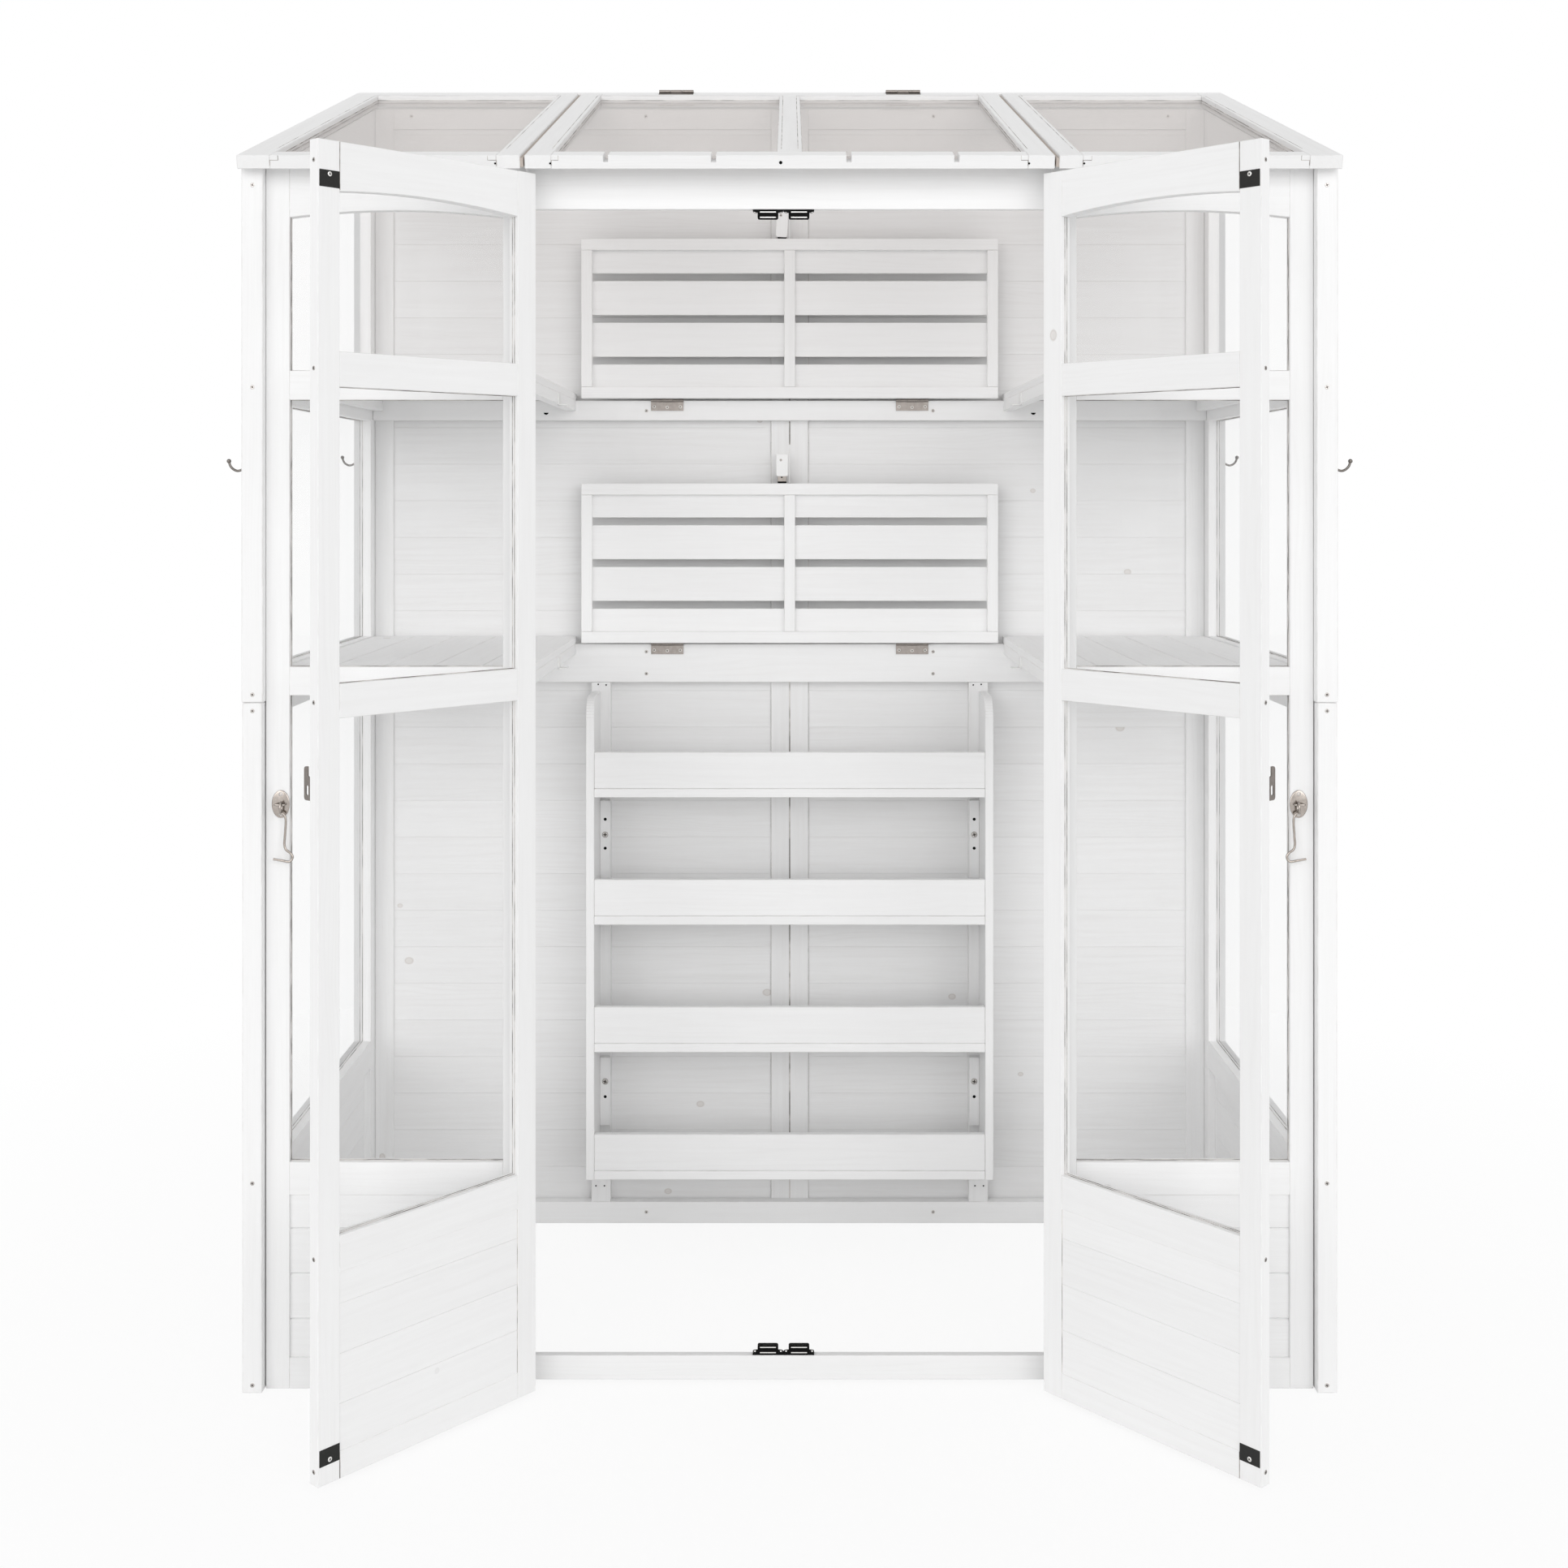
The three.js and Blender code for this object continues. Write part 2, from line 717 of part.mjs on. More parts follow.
let roofCentre = block([-roofCentreHalf, roofCentreHalf], roofRun, roofUp);
for (const [word, side] of Object.entries(sides)) {
  const opening = across(side, roofMullion / 2, roofCentreHalf - roofInnerStile);
  const { cut, pane } = roofPane(roofCentre, opening);
  roofCentre = cut;
  place(`roof_glazing_center_${word}`, pane, polycarbonate, tipped);
  for (const distance of [drainSpread, drainInner]) {
    const drain = middle([drainShift + side * distance, drainShift + side * distance], drainWidth);
    roofCentre = roofCentre.subtract(block(drain, [0, roofFrontRail], [roofBoard - drainDepth, roofBoard]));
  }
}

// Rear rail across the roof's end, with the fixed halves of the roof hinges on its top edge
const railStart = roofLength + seatGap;
const railRun = [railStart, railStart + rearRailBoard];
let rearRail = block([-halfWidth, halfWidth], railRun, [roofBoard - rearRailHeight, roofBoard]);
const { third: roofThird, outer: roofOuterPart, inner: roofInnerPart } = hingeLengths(roofHingeLength);
for (const side of Object.values(sides)) {
  const x = side * roofHingeSpread;
  const centre = [x, ...roofPin];
  const at = (range) => [x + range[0], x + range[1]];
  const clear = roofKnuckle + runningGap;
  const middleThird = at([-roofThird / 2, roofThird / 2]);
  const leafBottom = roofBoard - glueLap;
  const whole = at([-roofHingeLength / 2, roofHingeLength / 2]);
  const leafUp = [leafBottom, roofBoard + hingeLeaf];
  const webUp = [leafBottom, roofPin[1]];
  const panelEnd = roofPin[0] - seatGap / 2;
  const movingLeaf = [roofPin[0] - clear - roofLeafDepth, roofPin[0] - clear];
  roofCentre = roofCentre
    .add(block(whole, movingLeaf, leafUp))
    .add(block(middleThird, [movingLeaf[1] - glueLap, panelEnd], leafUp))
    .add(block(middleThird, [roofPin[0] - roofKnuckle, panelEnd], webUp))
    .add(rod('x', roofKnuckle, centre, roofThird))
    .subtract(rod('x', hingePin + runningGap, centre, roofHingeLength));
  const fixedLeaf = [roofPin[0] + clear, railRun[1]];
  rearRail = rearRail
    .add(rod('x', hingePin, centre, roofHingeLength - glueLap))
    .add(block(whole, fixedLeaf, leafUp));
  for (const range of [roofOuterPart, roofInnerPart]) {
    rearRail = rearRail
      .add(rod('x', roofKnuckle, [middleOf(at(range)), ...roofPin], range[1] - range[0]))
      .add(block(at(range), [railStart, fixedLeaf[0] + glueLap], leafUp))
      .add(block(at(range), [railStart, roofPin[0] + roofKnuckle], webUp));
  }
}
place('roof_panel_center', roofCentre, whitewashed, tipped);
place('roof_rear_rail', rearRail, whitewashed, tipped);

// Hinge rails, folding shelves and their butt hinges
const hingeRailHalf = wallInner - seatGap;
const shelfLevels = { lower: lowerHingeRail, upper: upperHingeRail };
for (const [level, rail] of Object.entries(shelfLevels)) {
  const railY = [railFront, backFace - seatGap];
  place(`hinge_rail_${level}`, block([-hingeRailHalf, hingeRailHalf], railY, rail), whitewashed);

  const pinZ = rail[1];
  const shelfBottom = pinZ + foldingStandOff;
  const shelfTop = shelfBottom + foldingDepth;
  const slatY = [shelfPinY - foldingSlatBoard, shelfPinY];
  const battenY = [slatY[0] - foldingBattenBoard, slatY[0] + glueLap];
  const slatGap = (foldingDepth - foldingSlat * foldingSlatCount) / (foldingSlatCount - 1);
  const fullX = [-foldingHalf, foldingHalf];
  const slats = Array.from({ length: foldingSlatCount }, (_, number) => {
    const bottom = shelfBottom + number * (foldingSlat + slatGap);
    return block(fullX, slatY, [bottom, bottom + foldingSlat]);
  });
  const battens = [
    block(fullX, battenY, [shelfBottom, shelfBottom + foldingEdgeBatten]),
    block(fullX, battenY, [shelfTop - foldingEdgeBatten, shelfTop]),
    ...[-1, 0, 1].map((column) => {
      const centre = column * (foldingHalf - foldingStile / 2);
      return block(middle([centre, centre], foldingStile), battenY, [shelfBottom, shelfTop]);
    }),
  ];
  let shelf = join(...slats, ...battens);
  const { third, outer, inner } = hingeLengths(shelfHingeLength);
  for (const [word, side] of Object.entries(sides)) {
    const x = side * shelfHingeSpread;
    const centre = [x, shelfPinY, pinZ];
    const at = (range) => [x + range[0], x + range[1]];
    const clear = shelfKnuckle + runningGap;
    const webY = [shelfPinY - hingeLeaf, shelfPinY];
    shelf = shelf
      .subtract(rod('x', clear, centre, shelfHingeLength + runningGap * 2))
      .add(block(at([-third / 2, third / 2]), webY, [pinZ, shelfBottom + foldingEdgeBatten]))
      .add(rod('x', shelfKnuckle, centre, third))
      .subtract(rod('x', hingePin + runningGap, centre, shelfHingeLength));
    const half = shelfHingeLength / 2;
    const leafY = [railFront - seatGap - hingeLeaf, railFront - seatGap];
    const fixed = join(
      ...[outer, inner].map((range) => join(
        rod('x', shelfKnuckle, [middleOf(at(range)), shelfPinY, pinZ], range[1] - range[0]),
        block(at(range), leafY, [pinZ - clear - glueLap, pinZ]),
      )),
      block(at([-half, half]), leafY, [pinZ - shelfLeafHeight, pinZ - clear]),
      rod('x', hingePin, centre, shelfHingeLength - glueLap),
    );
    place(`shelf_hinge_${level}_${word}`, fixed, zinc);
  }
  place(`folding_shelf_${level}`, shelf, whitewashed);
}

// Side shelves: five boards on bearers, with a steel tab that carries the folding shelf's end
for (const [level, rail] of Object.entries(shelfLevels)) {
  for (const [word, side] of Object.entries(sides)) {
    const outer = wallInner - seatGap;
    const boardWidth = (outer - shelfInner - shelfBoardGap * (shelfBoardCount - 1)) / shelfBoardCount;
    const boardZ = [rail[1] + seatGap, rail[1] + seatGap + shelfBoard];
    const boardY = [behindPanel, backFace - seatGap];
    const bearerZ = [boardZ[0] - bearerHeight, boardZ[0] + glueLap];
    const bearerY = [behindPanel, railFront - seatGap];
    const boards = Array.from({ length: shelfBoardCount }, (_, number) => {
      const start = shelfInner + number * (boardWidth + shelfBoardGap);
      return block(across(side, start, start + boardWidth), boardY, boardZ);
    });
    const tabTop = rail[1] - foldingSlatBoard - foldingBattenBoard - seatGap;
    const tabAlong = middle([tabY, tabY], tabLength);
    const tabX = across(side, shelfInner - tabPlate, shelfInner + glueLap);
    const shelf = join(
      ...boards,
      block(across(side, shelfInner, shelfInner + bearerWidth), bearerY, bearerZ),
      block(across(side, outer - bearerWidth, outer), bearerY, bearerZ),
      block(across(side, shelfInner, outer), [behindPanel, behindPanel + bearerWidth], bearerZ),
      block(tabX, tabAlong, [tabTop - tabPlate, tabTop + tabHeight]),
      block(across(side, shelfInner - tabReach, shelfInner), tabAlong, [tabTop - tabPlate, tabTop]),
    );
    place(`side_shelf_${word}_${level}`, shelf, whitewashed);
  }
}

// Plant rack hung on the wall studs
const rackBack = railFront - seatGap;
const rackOutline = new THREE.Shape();
rackOutline.moveTo(rackFront, rackBottom);
rackOutline.lineTo(rackBack, rackBottom);
rackOutline.lineTo(rackBack, rackTop);
rackOutline.lineTo(rackFront + rackCorner, rackTop);
rackOutline.quadraticCurveTo(rackFront, rackTop, rackFront, rackTop - rackCorner);
let rack = join(...Object.values(sides).map((side) => prismX(rackOutline, across(side, ...rackSide))));
for (let number = 0; number < rackShelfCount; number += 1) {
  const top = rackShelfTop + number * rackPitch;
  const shelfHalf = rackSide[0] + rackDado;
  const shelfX = [-shelfHalf, shelfHalf];
  const apronY = [rackFront, rackFront + rackApron];
  rack = rack
    .add(block(shelfX, [rackFront - rackLip, rackBack], [top - rackShelfBoard, top]))
    .add(block(shelfX, apronY, [top - glueLap, top + rackApronHeight]));
}
for (const side of Object.values(sides)) {
  const battenX = across(side, rackSide[0] - rackBatten + glueLap, rackSide[0] + glueLap);
  for (const batten of [rackBattenHigh, rackBattenLow]) {
    rack = rack.add(block(battenX, [rackBack - rackBattenBoard, rackBack], batten));
    const holeZ = batten[1] - plugHoleInset;
    const holeY = rackBack - rackBattenBoard / 2;
    const hole = [middleOf(battenX), holeY, holeZ];
    rack = rack.subtract(rod('y', plugHoleRadius, hole, rackBattenBoard + glueLap));
  }
}
place('plant_rack', rack, whitewashed);

// Magnetic catches: two boxes side by side, each with a sloping, drilled ear at either end
function catchPair(base, up) {
  const boxHalf = catchBox / 2;
  const earEnd = boxHalf + catchEar;
  const holeLength = catchFlange * blankShare;
  let pair = null;
  for (const side of Object.values(sides)) {
    const centre = catchShift + side * (catchEarGap / 2 + earEnd);
    const at = (out, rise) => [centre + out, base + up * rise];
    const ears = new THREE.Shape();
    ears.moveTo(...at(-earEnd, 0));
    ears.lineTo(...at(-earEnd, catchEarTip));
    ears.quadraticCurveTo(...at(-earEnd, catchFlange), ...at(-boxHalf, catchFlange));
    ears.lineTo(...at(boxHalf, catchFlange));
    ears.quadraticCurveTo(...at(earEnd, catchFlange), ...at(earEnd, catchEarTip));
    ears.lineTo(...at(earEnd, 0));
    const box = new THREE.Shape();
    box.moveTo(...at(-boxHalf, 0));
    box.lineTo(...at(-boxHalf, catchBoxHeight - catchCorner));
    box.quadraticCurveTo(...at(-boxHalf, catchBoxHeight), ...at(catchCorner - boxHalf, catchBoxHeight));
    box.lineTo(...at(boxHalf - catchCorner, catchBoxHeight));
    box.quadraticCurveTo(...at(boxHalf, catchBoxHeight), ...at(boxHalf, catchBoxHeight - catchCorner));
    box.lineTo(...at(boxHalf, 0));
    let half = prismY(ears, stopDepth).add(prismY(box, [stopDepth[0], stopDepth[1] - catchBoxSetIn]));
    for (const end of Object.values(sides)) {
      const [x, z] = at(end * (boxHalf + catchEar / 2), 0);
      const hole = [x, middleOf(stopDepth), z];
      half = half.subtract(rod('z', catchScrewRadius, hole, holeLength, smallFacets));
    }
    pair = pair ? pair.add(half) : half;
  }
  const bridge = widened([catchShift, catchShift], catchEarGap / 2 + glueLap);
  return pair.add(block(bridge, stopDepth, [base, base + up * catchEarTip]));
}
place('catch_top', catchPair(lintelBottom - seatGap, -1), blackPlastic);
place('catch_bottom', catchPair(thresholdTop + seatGap, 1), blackPlastic);

// Cabin hooks: an oval plate with a staple, and the hook whose eye hangs on the staple's bar
for (const [word, side] of Object.entries(sides)) {
  const x = side * (panelOuter - stileWidth / 2);
  const plateBack = panelFront - seatGap;
  const plateFront = plateBack - hookPlateBoard;
  const barY = plateFront - hookStapleOut;
  const oval = new THREE.Shape().absellipse(x, hookHeight, ...hookOval, 0, Math.PI * 2);
  const legEnd = plateFront + hookPlateBoard / 2;
  const corners = [
    [-hookStapleHalf, legEnd], [-hookStapleHalf, barY], [hookStapleHalf, barY], [hookStapleHalf, legEnd],
  ].map(([out, y]) => new THREE.Vector3(x + out, y, hookHeight));
  const staple = bentWire(corners, hookStapleCorner, hookStapleWire);
  place(`hook_plate_${word}`, prismY(oval, [plateFront, plateBack]).add(staple), nickel);

  // The wire of the eye starts and ends at the shank, and its top rests on the bar
  const [eyeDepth, eyeHeight] = hookEye;
  const eyeCentre = hookHeight - (eyeHeight - hookWire - hookStapleWire - runningGap);
  const eye = Array.from({ length: eyeBends }, (_, number) => {
    const turn = hookEyeMouth / 2 + (number / (eyeBends - 1)) * (Math.PI * 2 - hookEyeMouth);
    return new THREE.Vector3(
      x - side * hookEyeShift,
      barY + eyeDepth * Math.sin(turn),
      eyeCentre - eyeHeight * Math.cos(turn),
    );
  });
  const bends = hookBends.map(([out, rise]) => new THREE.Vector3(x - side * out, barY, hookHeight + rise));
  place(`cabin_hook_${word}`, wire(eye, hookWire).add(wire(bends, hookWire)), nickel);
}

// Tool hooks with a ball end, cut off where they screw into the wood
for (const [word, side] of Object.entries(sides)) {
  const spots = {
    front: [halfWidth, ...toolHookFront],
    rear: [wallOuter, ...toolHookRear],
  };
  for (const [end, [face, y, z]] of Object.entries(spots)) {
    const start = side * (face + seatGap);
    const bends = toolHookBends.map(([out, rise]) => new THREE.Vector3(start + side * out, y, z + rise));
    const tip = bends[bends.length - 1];
    const sphere = new THREE.SphereGeometry(toolHookBall, ballFacets, ballRings);
    const ball = solid(sphere.translate(tip.x, tip.y, tip.z));
    const root = block(
      [start, start - side * toolHookRoot],
      widened([y, y], toolHookRoot),
      widened([bends[0].z, bends[0].z], toolHookRoot),
    );
    place(`tool_hook_${word}_${end}`, wire(bends, toolHookWire).subtract(root).add(ball), nickel);
  }
}

// Centres the whole on its own box, front to back
const bounds = new THREE.Box3().setFromObject(greenhouse);
const centreY = (bounds.min.y + bounds.max.y) / 2;
for (const mesh of greenhouse.children) {
  mesh.geometry.translate(0, -centreY, 0);
}

export default greenhouse;
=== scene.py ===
"""White wooden walk-in greenhouse with its doors open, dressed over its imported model.

Lengths are in millimetres and Y counts from the front face of the corner posts, until a piece is
placed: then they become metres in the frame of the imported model.
"""

import random
from math import cos, pi, radians, sin, tan, tau

import bmesh
import bpy
from mathutils import Matrix, Vector


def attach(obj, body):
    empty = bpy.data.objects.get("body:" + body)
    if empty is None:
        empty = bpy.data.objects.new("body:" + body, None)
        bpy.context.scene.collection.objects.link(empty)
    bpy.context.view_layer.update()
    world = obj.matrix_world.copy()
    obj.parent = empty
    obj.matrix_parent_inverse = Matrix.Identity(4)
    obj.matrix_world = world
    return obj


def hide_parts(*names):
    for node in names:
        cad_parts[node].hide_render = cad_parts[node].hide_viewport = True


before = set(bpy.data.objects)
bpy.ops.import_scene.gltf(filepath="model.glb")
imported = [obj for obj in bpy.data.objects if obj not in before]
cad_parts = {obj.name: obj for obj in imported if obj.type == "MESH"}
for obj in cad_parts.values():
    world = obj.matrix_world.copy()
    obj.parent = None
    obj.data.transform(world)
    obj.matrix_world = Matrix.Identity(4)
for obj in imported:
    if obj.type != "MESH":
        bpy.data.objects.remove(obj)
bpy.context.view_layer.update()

METRE = 0.001
CENTRING = 252.2125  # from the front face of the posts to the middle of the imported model
SIDES = {"left": -1, "right": 1}
BOTH = (-1, 1)

# Roof
PITCH = radians(17.5)
ROOF_LOW_EDGE = 1746.4
ROOF_FORWARD = 21.1
ROOF_LENGTH = 822
ROOF_BOARD = 19.5
ROOF_SHEET = (7.75, 11.75)
ROOF_FRONT_RAIL = 38
ROOF_REAR_RAIL = 45
ROOF_OUTER_STILE = 47
ROOF_INNER_STILE = 38
ROOF_SIDE_STILE = 33.6
ROOF_BAR_HALF = 18
ROOF_GAP = (377.9, 382.4)
ROOF_LIGHT = (ROOF_FRONT_RAIL, ROOF_LENGTH - ROOF_REAR_RAIL)
ROOF_PIN = (822.15, 22.8)
ROOF_DRAINS = (237, 84, -108, -261)
VENT_HALF = 376
# Painted shade: the roof's boards are darkened to 0.93 of their colour
ROOF_PAINTED_SHADE = 0.93

# Front
HALF_WIDTH = 784
POST_DEPTH = 33
SEAM = 987
DOORWAY_HALF = 378
PANEL_OUTER = 752.6
STILE = 34
FRONT = (15, 33)
FRONT_SHEET = (22, 26)
SILL = (278, 325.5)
STOP = (33.3, 45.3)
STOP_HALF = 412
LINTEL_BOTTOM = 1697
THRESHOLD = (5, 40)

# Doors
DOOR = (13.5, 31.5)
DOOR_EDGES = (2.5, 375.2)
DOOR_HEIGHT = (5, 1743)
DOOR_SHEET = (20.5, 24.5)
PIN = (376.5, 11.7)
OPEN_ANGLE = radians(131)
HINGE_HEIGHTS = (160, 880, 1590)
HINGE_HALF = 30
KNUCKLE_HALF = 10
STRIKES = ((1681.5, 1703.7, 1698.7), (30, 52, 36.3))  # bottom, top and height of the screw

# Heights in the glazed leaves: each rail's bottom and top, the lowest joint of the boards, and the
# underside of the arched top rail at its ends and in its middle
PANEL_LEAF = {"bottom": 44.5, "joint": 98.6, "sill": SILL, "low": (996, 1037),
              "high": (1420.6, 1462.6), "arch": (1683, 1693)}
DOOR_LEAF = {"bottom": 41, "joint": 102, "sill": (273, 321), "low": (993, 1038),
             "high": (1424, 1470), "arch": (1678, 1686)}

# Side and back walls
WALL = (736, 766)
WALL_DEPTH = (33.3, 705)
WALL_STILE = 52
WALL_RAILS = ((0, 44.5), SILL, (970, SEAM - 0.2), (SEAM + 0.2, 1037), (1416, 1463))
WALL_TOP_RAIL = 62
WALL_BOARDS = (758, 748)
SIDE_SHEET = (751, 755)
BACK = (686, 704)
BACK_HALF = 735.7
BACK_STILE = 33
BACK_RAIL = 35
BACK_BOARDS = (700, 690)
RAIL_FRONT, RAIL_BACK = 667.7, 685.7
BEFORE_RAIL = 667.4
HINGE_RAILS = {"lower": (955, 1022.5), "upper": (1417, 1452)}

# Shelves and rack
SHELF_HALF = 365.7
SHELF_BOARDS = (655.3, 664.8)
SHELF_BATTENS = (645.8, 655.2)
SHELF_HEIGHT = 280
SHELF_BOARD_WIDTH = 60
SHELF_STEP = (SHELF_HEIGHT - SHELF_BOARD_WIDTH) / 3
SHELF_BATTEN = 20
SHELF_CLEARANCE = 3
SHELF_HINGE = 216
CATCH_BLOCK = (648, 686.5)
CATCH_BLOCK_HEIGHT = 50.5
CATCH_MAGNET = (-21.2, -5.7)
SIDE_SHELF = (377.5, BACK_HALF)
SIDE_BOARD = 70.84
BEARER = 18
RACK_FRONT = 554
RACK_TOP = 939
RACK_CORNER = 34
RACK_HALF = 333.8
RACK_STEP = 217.5

# Wood: eased edges, growth rings, and the pith's depth below a board
ARRIS = 0.7
RING_STEP = 4.5
PITH_DEPTH = 55
FRONT_CUT, BACK_CUT = 1800, 2100  # uncut heights of the boards that end at the roof's slope


# Placing

def across(side, near, far):
    """A span from near to far of the middle, on one side of it."""
    return tuple(sorted((side * near, side * far)))


def around(middle, reach):
    """A span that reaches equally far to both sides of its middle."""
    return (middle - reach, middle + reach)


def under_roof(y):
    """Height of the roof's underside, less a hair."""
    return ROOF_LOW_EDGE - 0.3 + (y + ROOF_FORWARD) * tan(PITCH)


def opened(side):
    """Turns a door from shut, as it is built here, to the way the photo shows it."""
    pin = Vector((side * PIN[0], PIN[1], 0))
    turn = Matrix.Rotation(side * OPEN_ANGLE, 4, "Z")
    return Matrix.Translation(pin) @ turn @ Matrix.Translation(-pin)


def stand(name, data):
    """A new object in the scene."""
    made = bpy.data.objects.new(name, data)
    bpy.context.scene.collection.objects.link(made)
    return made


STRAIGHT = Matrix.Identity(4)
LOW_EDGE = Matrix.Translation((0, -ROOF_FORWARD, ROOF_LOW_EDGE))
TIPPED = LOW_EDGE @ Matrix.Rotation(PITCH, 4, "X")
TO_FRAME = Matrix.Scale(METRE, 4) @ Matrix.Translation((0, -CENTRING, 0))


# Materials

def linear(code):
    """The linear colour of a hex code in sRGB."""
    channels = [int(code[place:place + 2], 16) / 255 for place in (1, 3, 5)]
    return [c / 12.92 if c <= 0.04045 else ((c + 0.055) / 1.055) ** 2.4 for c in channels] + [1]


def feed(node, place, value):
    """Gives an input of a node a value, or links it to an output."""
    if isinstance(value, bpy.types.NodeSocket):
        node.id_data.links.new(value, node.inputs[place])
    else:
        node.inputs[place].default_value = value


def add(tree, kind, inputs=(), output=0, **settings):
    """Adds a node with its settings, feeds its inputs by place or name, and gives an output.

    The kind names a node and, where it has one, its operation.
    """
    kind, *operation = kind.split()
    node = tree.nodes.new(f"ShaderNode{kind}")
    if operation:
        node.operation = operation[0]
    for name, value in settings.items():
        setattr(node, name, value)
    for place, value in inputs.items() if isinstance(inputs, dict) else enumerate(inputs):
        feed(node, place, value)
    return node.outputs[output]


def begin(name, colour, roughness, metallic=0):
    """A new material, its node tree and its Principled shader."""
    material = bpy.data.materials.new(name)
    material.use_nodes = True
    shader = material.node_tree.nodes["Principled BSDF"]
    feed(shader, "Base Color", linear(colour))
    feed(shader, "Roughness", roughness)
    feed(shader, "Metallic", metallic)
    return material, material.node_tree, shader


def patches(tree, place, sizes, detail=3.0):
    """Soft random patches, so many millimetres long on each axis of a place in metres."""
    spread = add(tree, "VectorMath DIVIDE", (place, [size * METRE for size in sizes]))
    settings = {"Vector": spread, "Scale": 1.0, "Detail": detail, "Roughness": 0.55}
    return add(tree, "TexNoise", settings)


def whitewashed_fir(name, colour, grain_colour, contrast, knots):
    """Planed fir under a thin white stain: a dull silky white, rings and fibres show faintly.

    The arrises are darker: partly the stain lying thinner there, partly painted shade that marks
    the joints. A few boards have round knots.
    """
    material, tree, shader = begin(name, colour, 0.6)
    grain = add(tree, "Attribute", output="Vector", attribute_name="grain")
    tone = add(tree, "Attribute", output="Fac", attribute_name="tone")
    arris_wear_and_shade = add(tree, "Attribute", output="Fac", attribute_name="arris_wear_and_shade")
    wide, thick = add(tree, "SeparateXYZ", (grain,), slice(1, 3))

    # Growth rings round a pith below the board
    wander = patches(tree, grain, (450, 70, 70), 2.0)
    drift = add(tree, "Math MULTIPLY_ADD", (wander, 0.06, -0.03))
    sideways = add(tree, "Math ADD", (wide, drift))
    deep = add(tree, "Math ADD", (thick, PITH_DEPTH * METRE))
    from_pith = add(tree, "CombineXYZ", (sideways, deep, 0.0))
    radius = add(tree, "VectorMath LENGTH", (from_pith,), "Value")
    turns = add(tree, "Math MULTIPLY", (radius, tau / (RING_STEP * METRE)))
    late_wood = add(tree, "MapRange", (add(tree, "Math SINE", (turns,)), 0.2, 1.0))
    spread = patches(tree, grain, (285, 110, 110), 2.0)
    blotches = add(tree, "MapRange", (spread, 0.35, 0.72, 0.0, 0.5 * contrast))
    ring_share = add(tree, "Math MULTIPLY", (late_wood, blotches))

    # Streaks 8 mm wide and fibres 1.1 mm wide, coarser than real ones so that they show
    streaks = add(tree, "MapRange", (patches(tree, grain, (200, 7.7, 7.7), 4.0), 0.35, 0.7))
    fibres = patches(tree, grain, (36, 1.1, 1.1), 2.0)
    fibre_share = add(tree, "MapRange", (fibres, 0.5, 0.8, 0.0, 0.5 * contrast))
    wear_and_painted_shade = add(tree, "MapRange", (patches(tree, grain, (33, 17, 17)), 0.42, 0.62, 0.1, 0.5))
    share = add(tree, "Math MULTIPLY_ADD", (streaks, 0.55 * contrast, ring_share))
    share = add(tree, "Math ADD", (share, fibre_share))
    # Arrises darken towards the grain colour: worn stain, and painted shade along the joints
    share = add(tree, "Math MULTIPLY_ADD", (arris_wear_and_shade, wear_and_painted_shade, share), use_clamp=True)
    colours = {0: share, 6: linear(colour), 7: linear(grain_colour)}
    stained = add(tree, "Mix", colours, 2, data_type="RGBA")

    # Knots 8 to 18 mm across that run through the board, each with a darker ring
    cells = add(tree, "VectorMath DIVIDE", (grain, (0.143, 0.111, 1)))
    distance, cell = add(tree, "TexVoronoi", {"Vector": cells, "Scale": 1.0}, slice(0, 2),
                         voronoi_dimensions="2D")
    chance = add(tree, "SeparateColor", (cell,))
    there = add(tree, "Math GREATER_THAN", (chance, 1 - knots))
    size = add(tree, "MapRange", (chance, 1 - knots, 1.0, 0.028, 0.062))
    outward = add(tree, "Math DIVIDE", (distance, size))
    depth = add(tree, "Math SUBTRACT", (1.0, outward))
    heart = add(tree, "MapRange", (depth, 0.0, 0.35, 0.0, 0.35))
    outer = add(tree, "MapRange", (depth, -0.25, 0.1, 0.0, 0.4))
    rim = add(tree, "Math MULTIPLY", (outer, add(tree, "MapRange", (depth, 0.35, 0.1))))
    for part, code in ((heart, "#c9bfb6"), (rim, "#b3a69b")):
        share = add(tree, "Math MULTIPLY", (there, part))
        stained = add(tree, "Mix", {0: share, 6: stained, 7: linear(code)}, 2, data_type="RGBA")

    # Random tone of each board, times the piece's shade, which is painted shade where it is below 1
    shade = add(tree, "CombineColor", (tone, tone, tone))
    toned = add(tree, "Mix", {0: 1.0, 6: stained, 7: shade}, 2, data_type="RGBA",
                blend_type="MULTIPLY")
    feed(shader, "Base Color", toned)
    feed(shader, "Roughness", add(tree, "MapRange", (streaks, 0.0, 1.0, 0.56, 0.68)))
    fibre_height = add(tree, "Math MULTIPLY", (fibres, 0.6))
    height = add(tree, "Math MULTIPLY_ADD", (late_wood, 0.4, fibre_height))
    relief = {"Height": height, "Distance": 0.07 * METRE, "Strength": 0.6}
    feed(shader, "Normal", add(tree, "Bump", relief))
    feed(shader, "Specular IOR Level", 0.3)
    return material


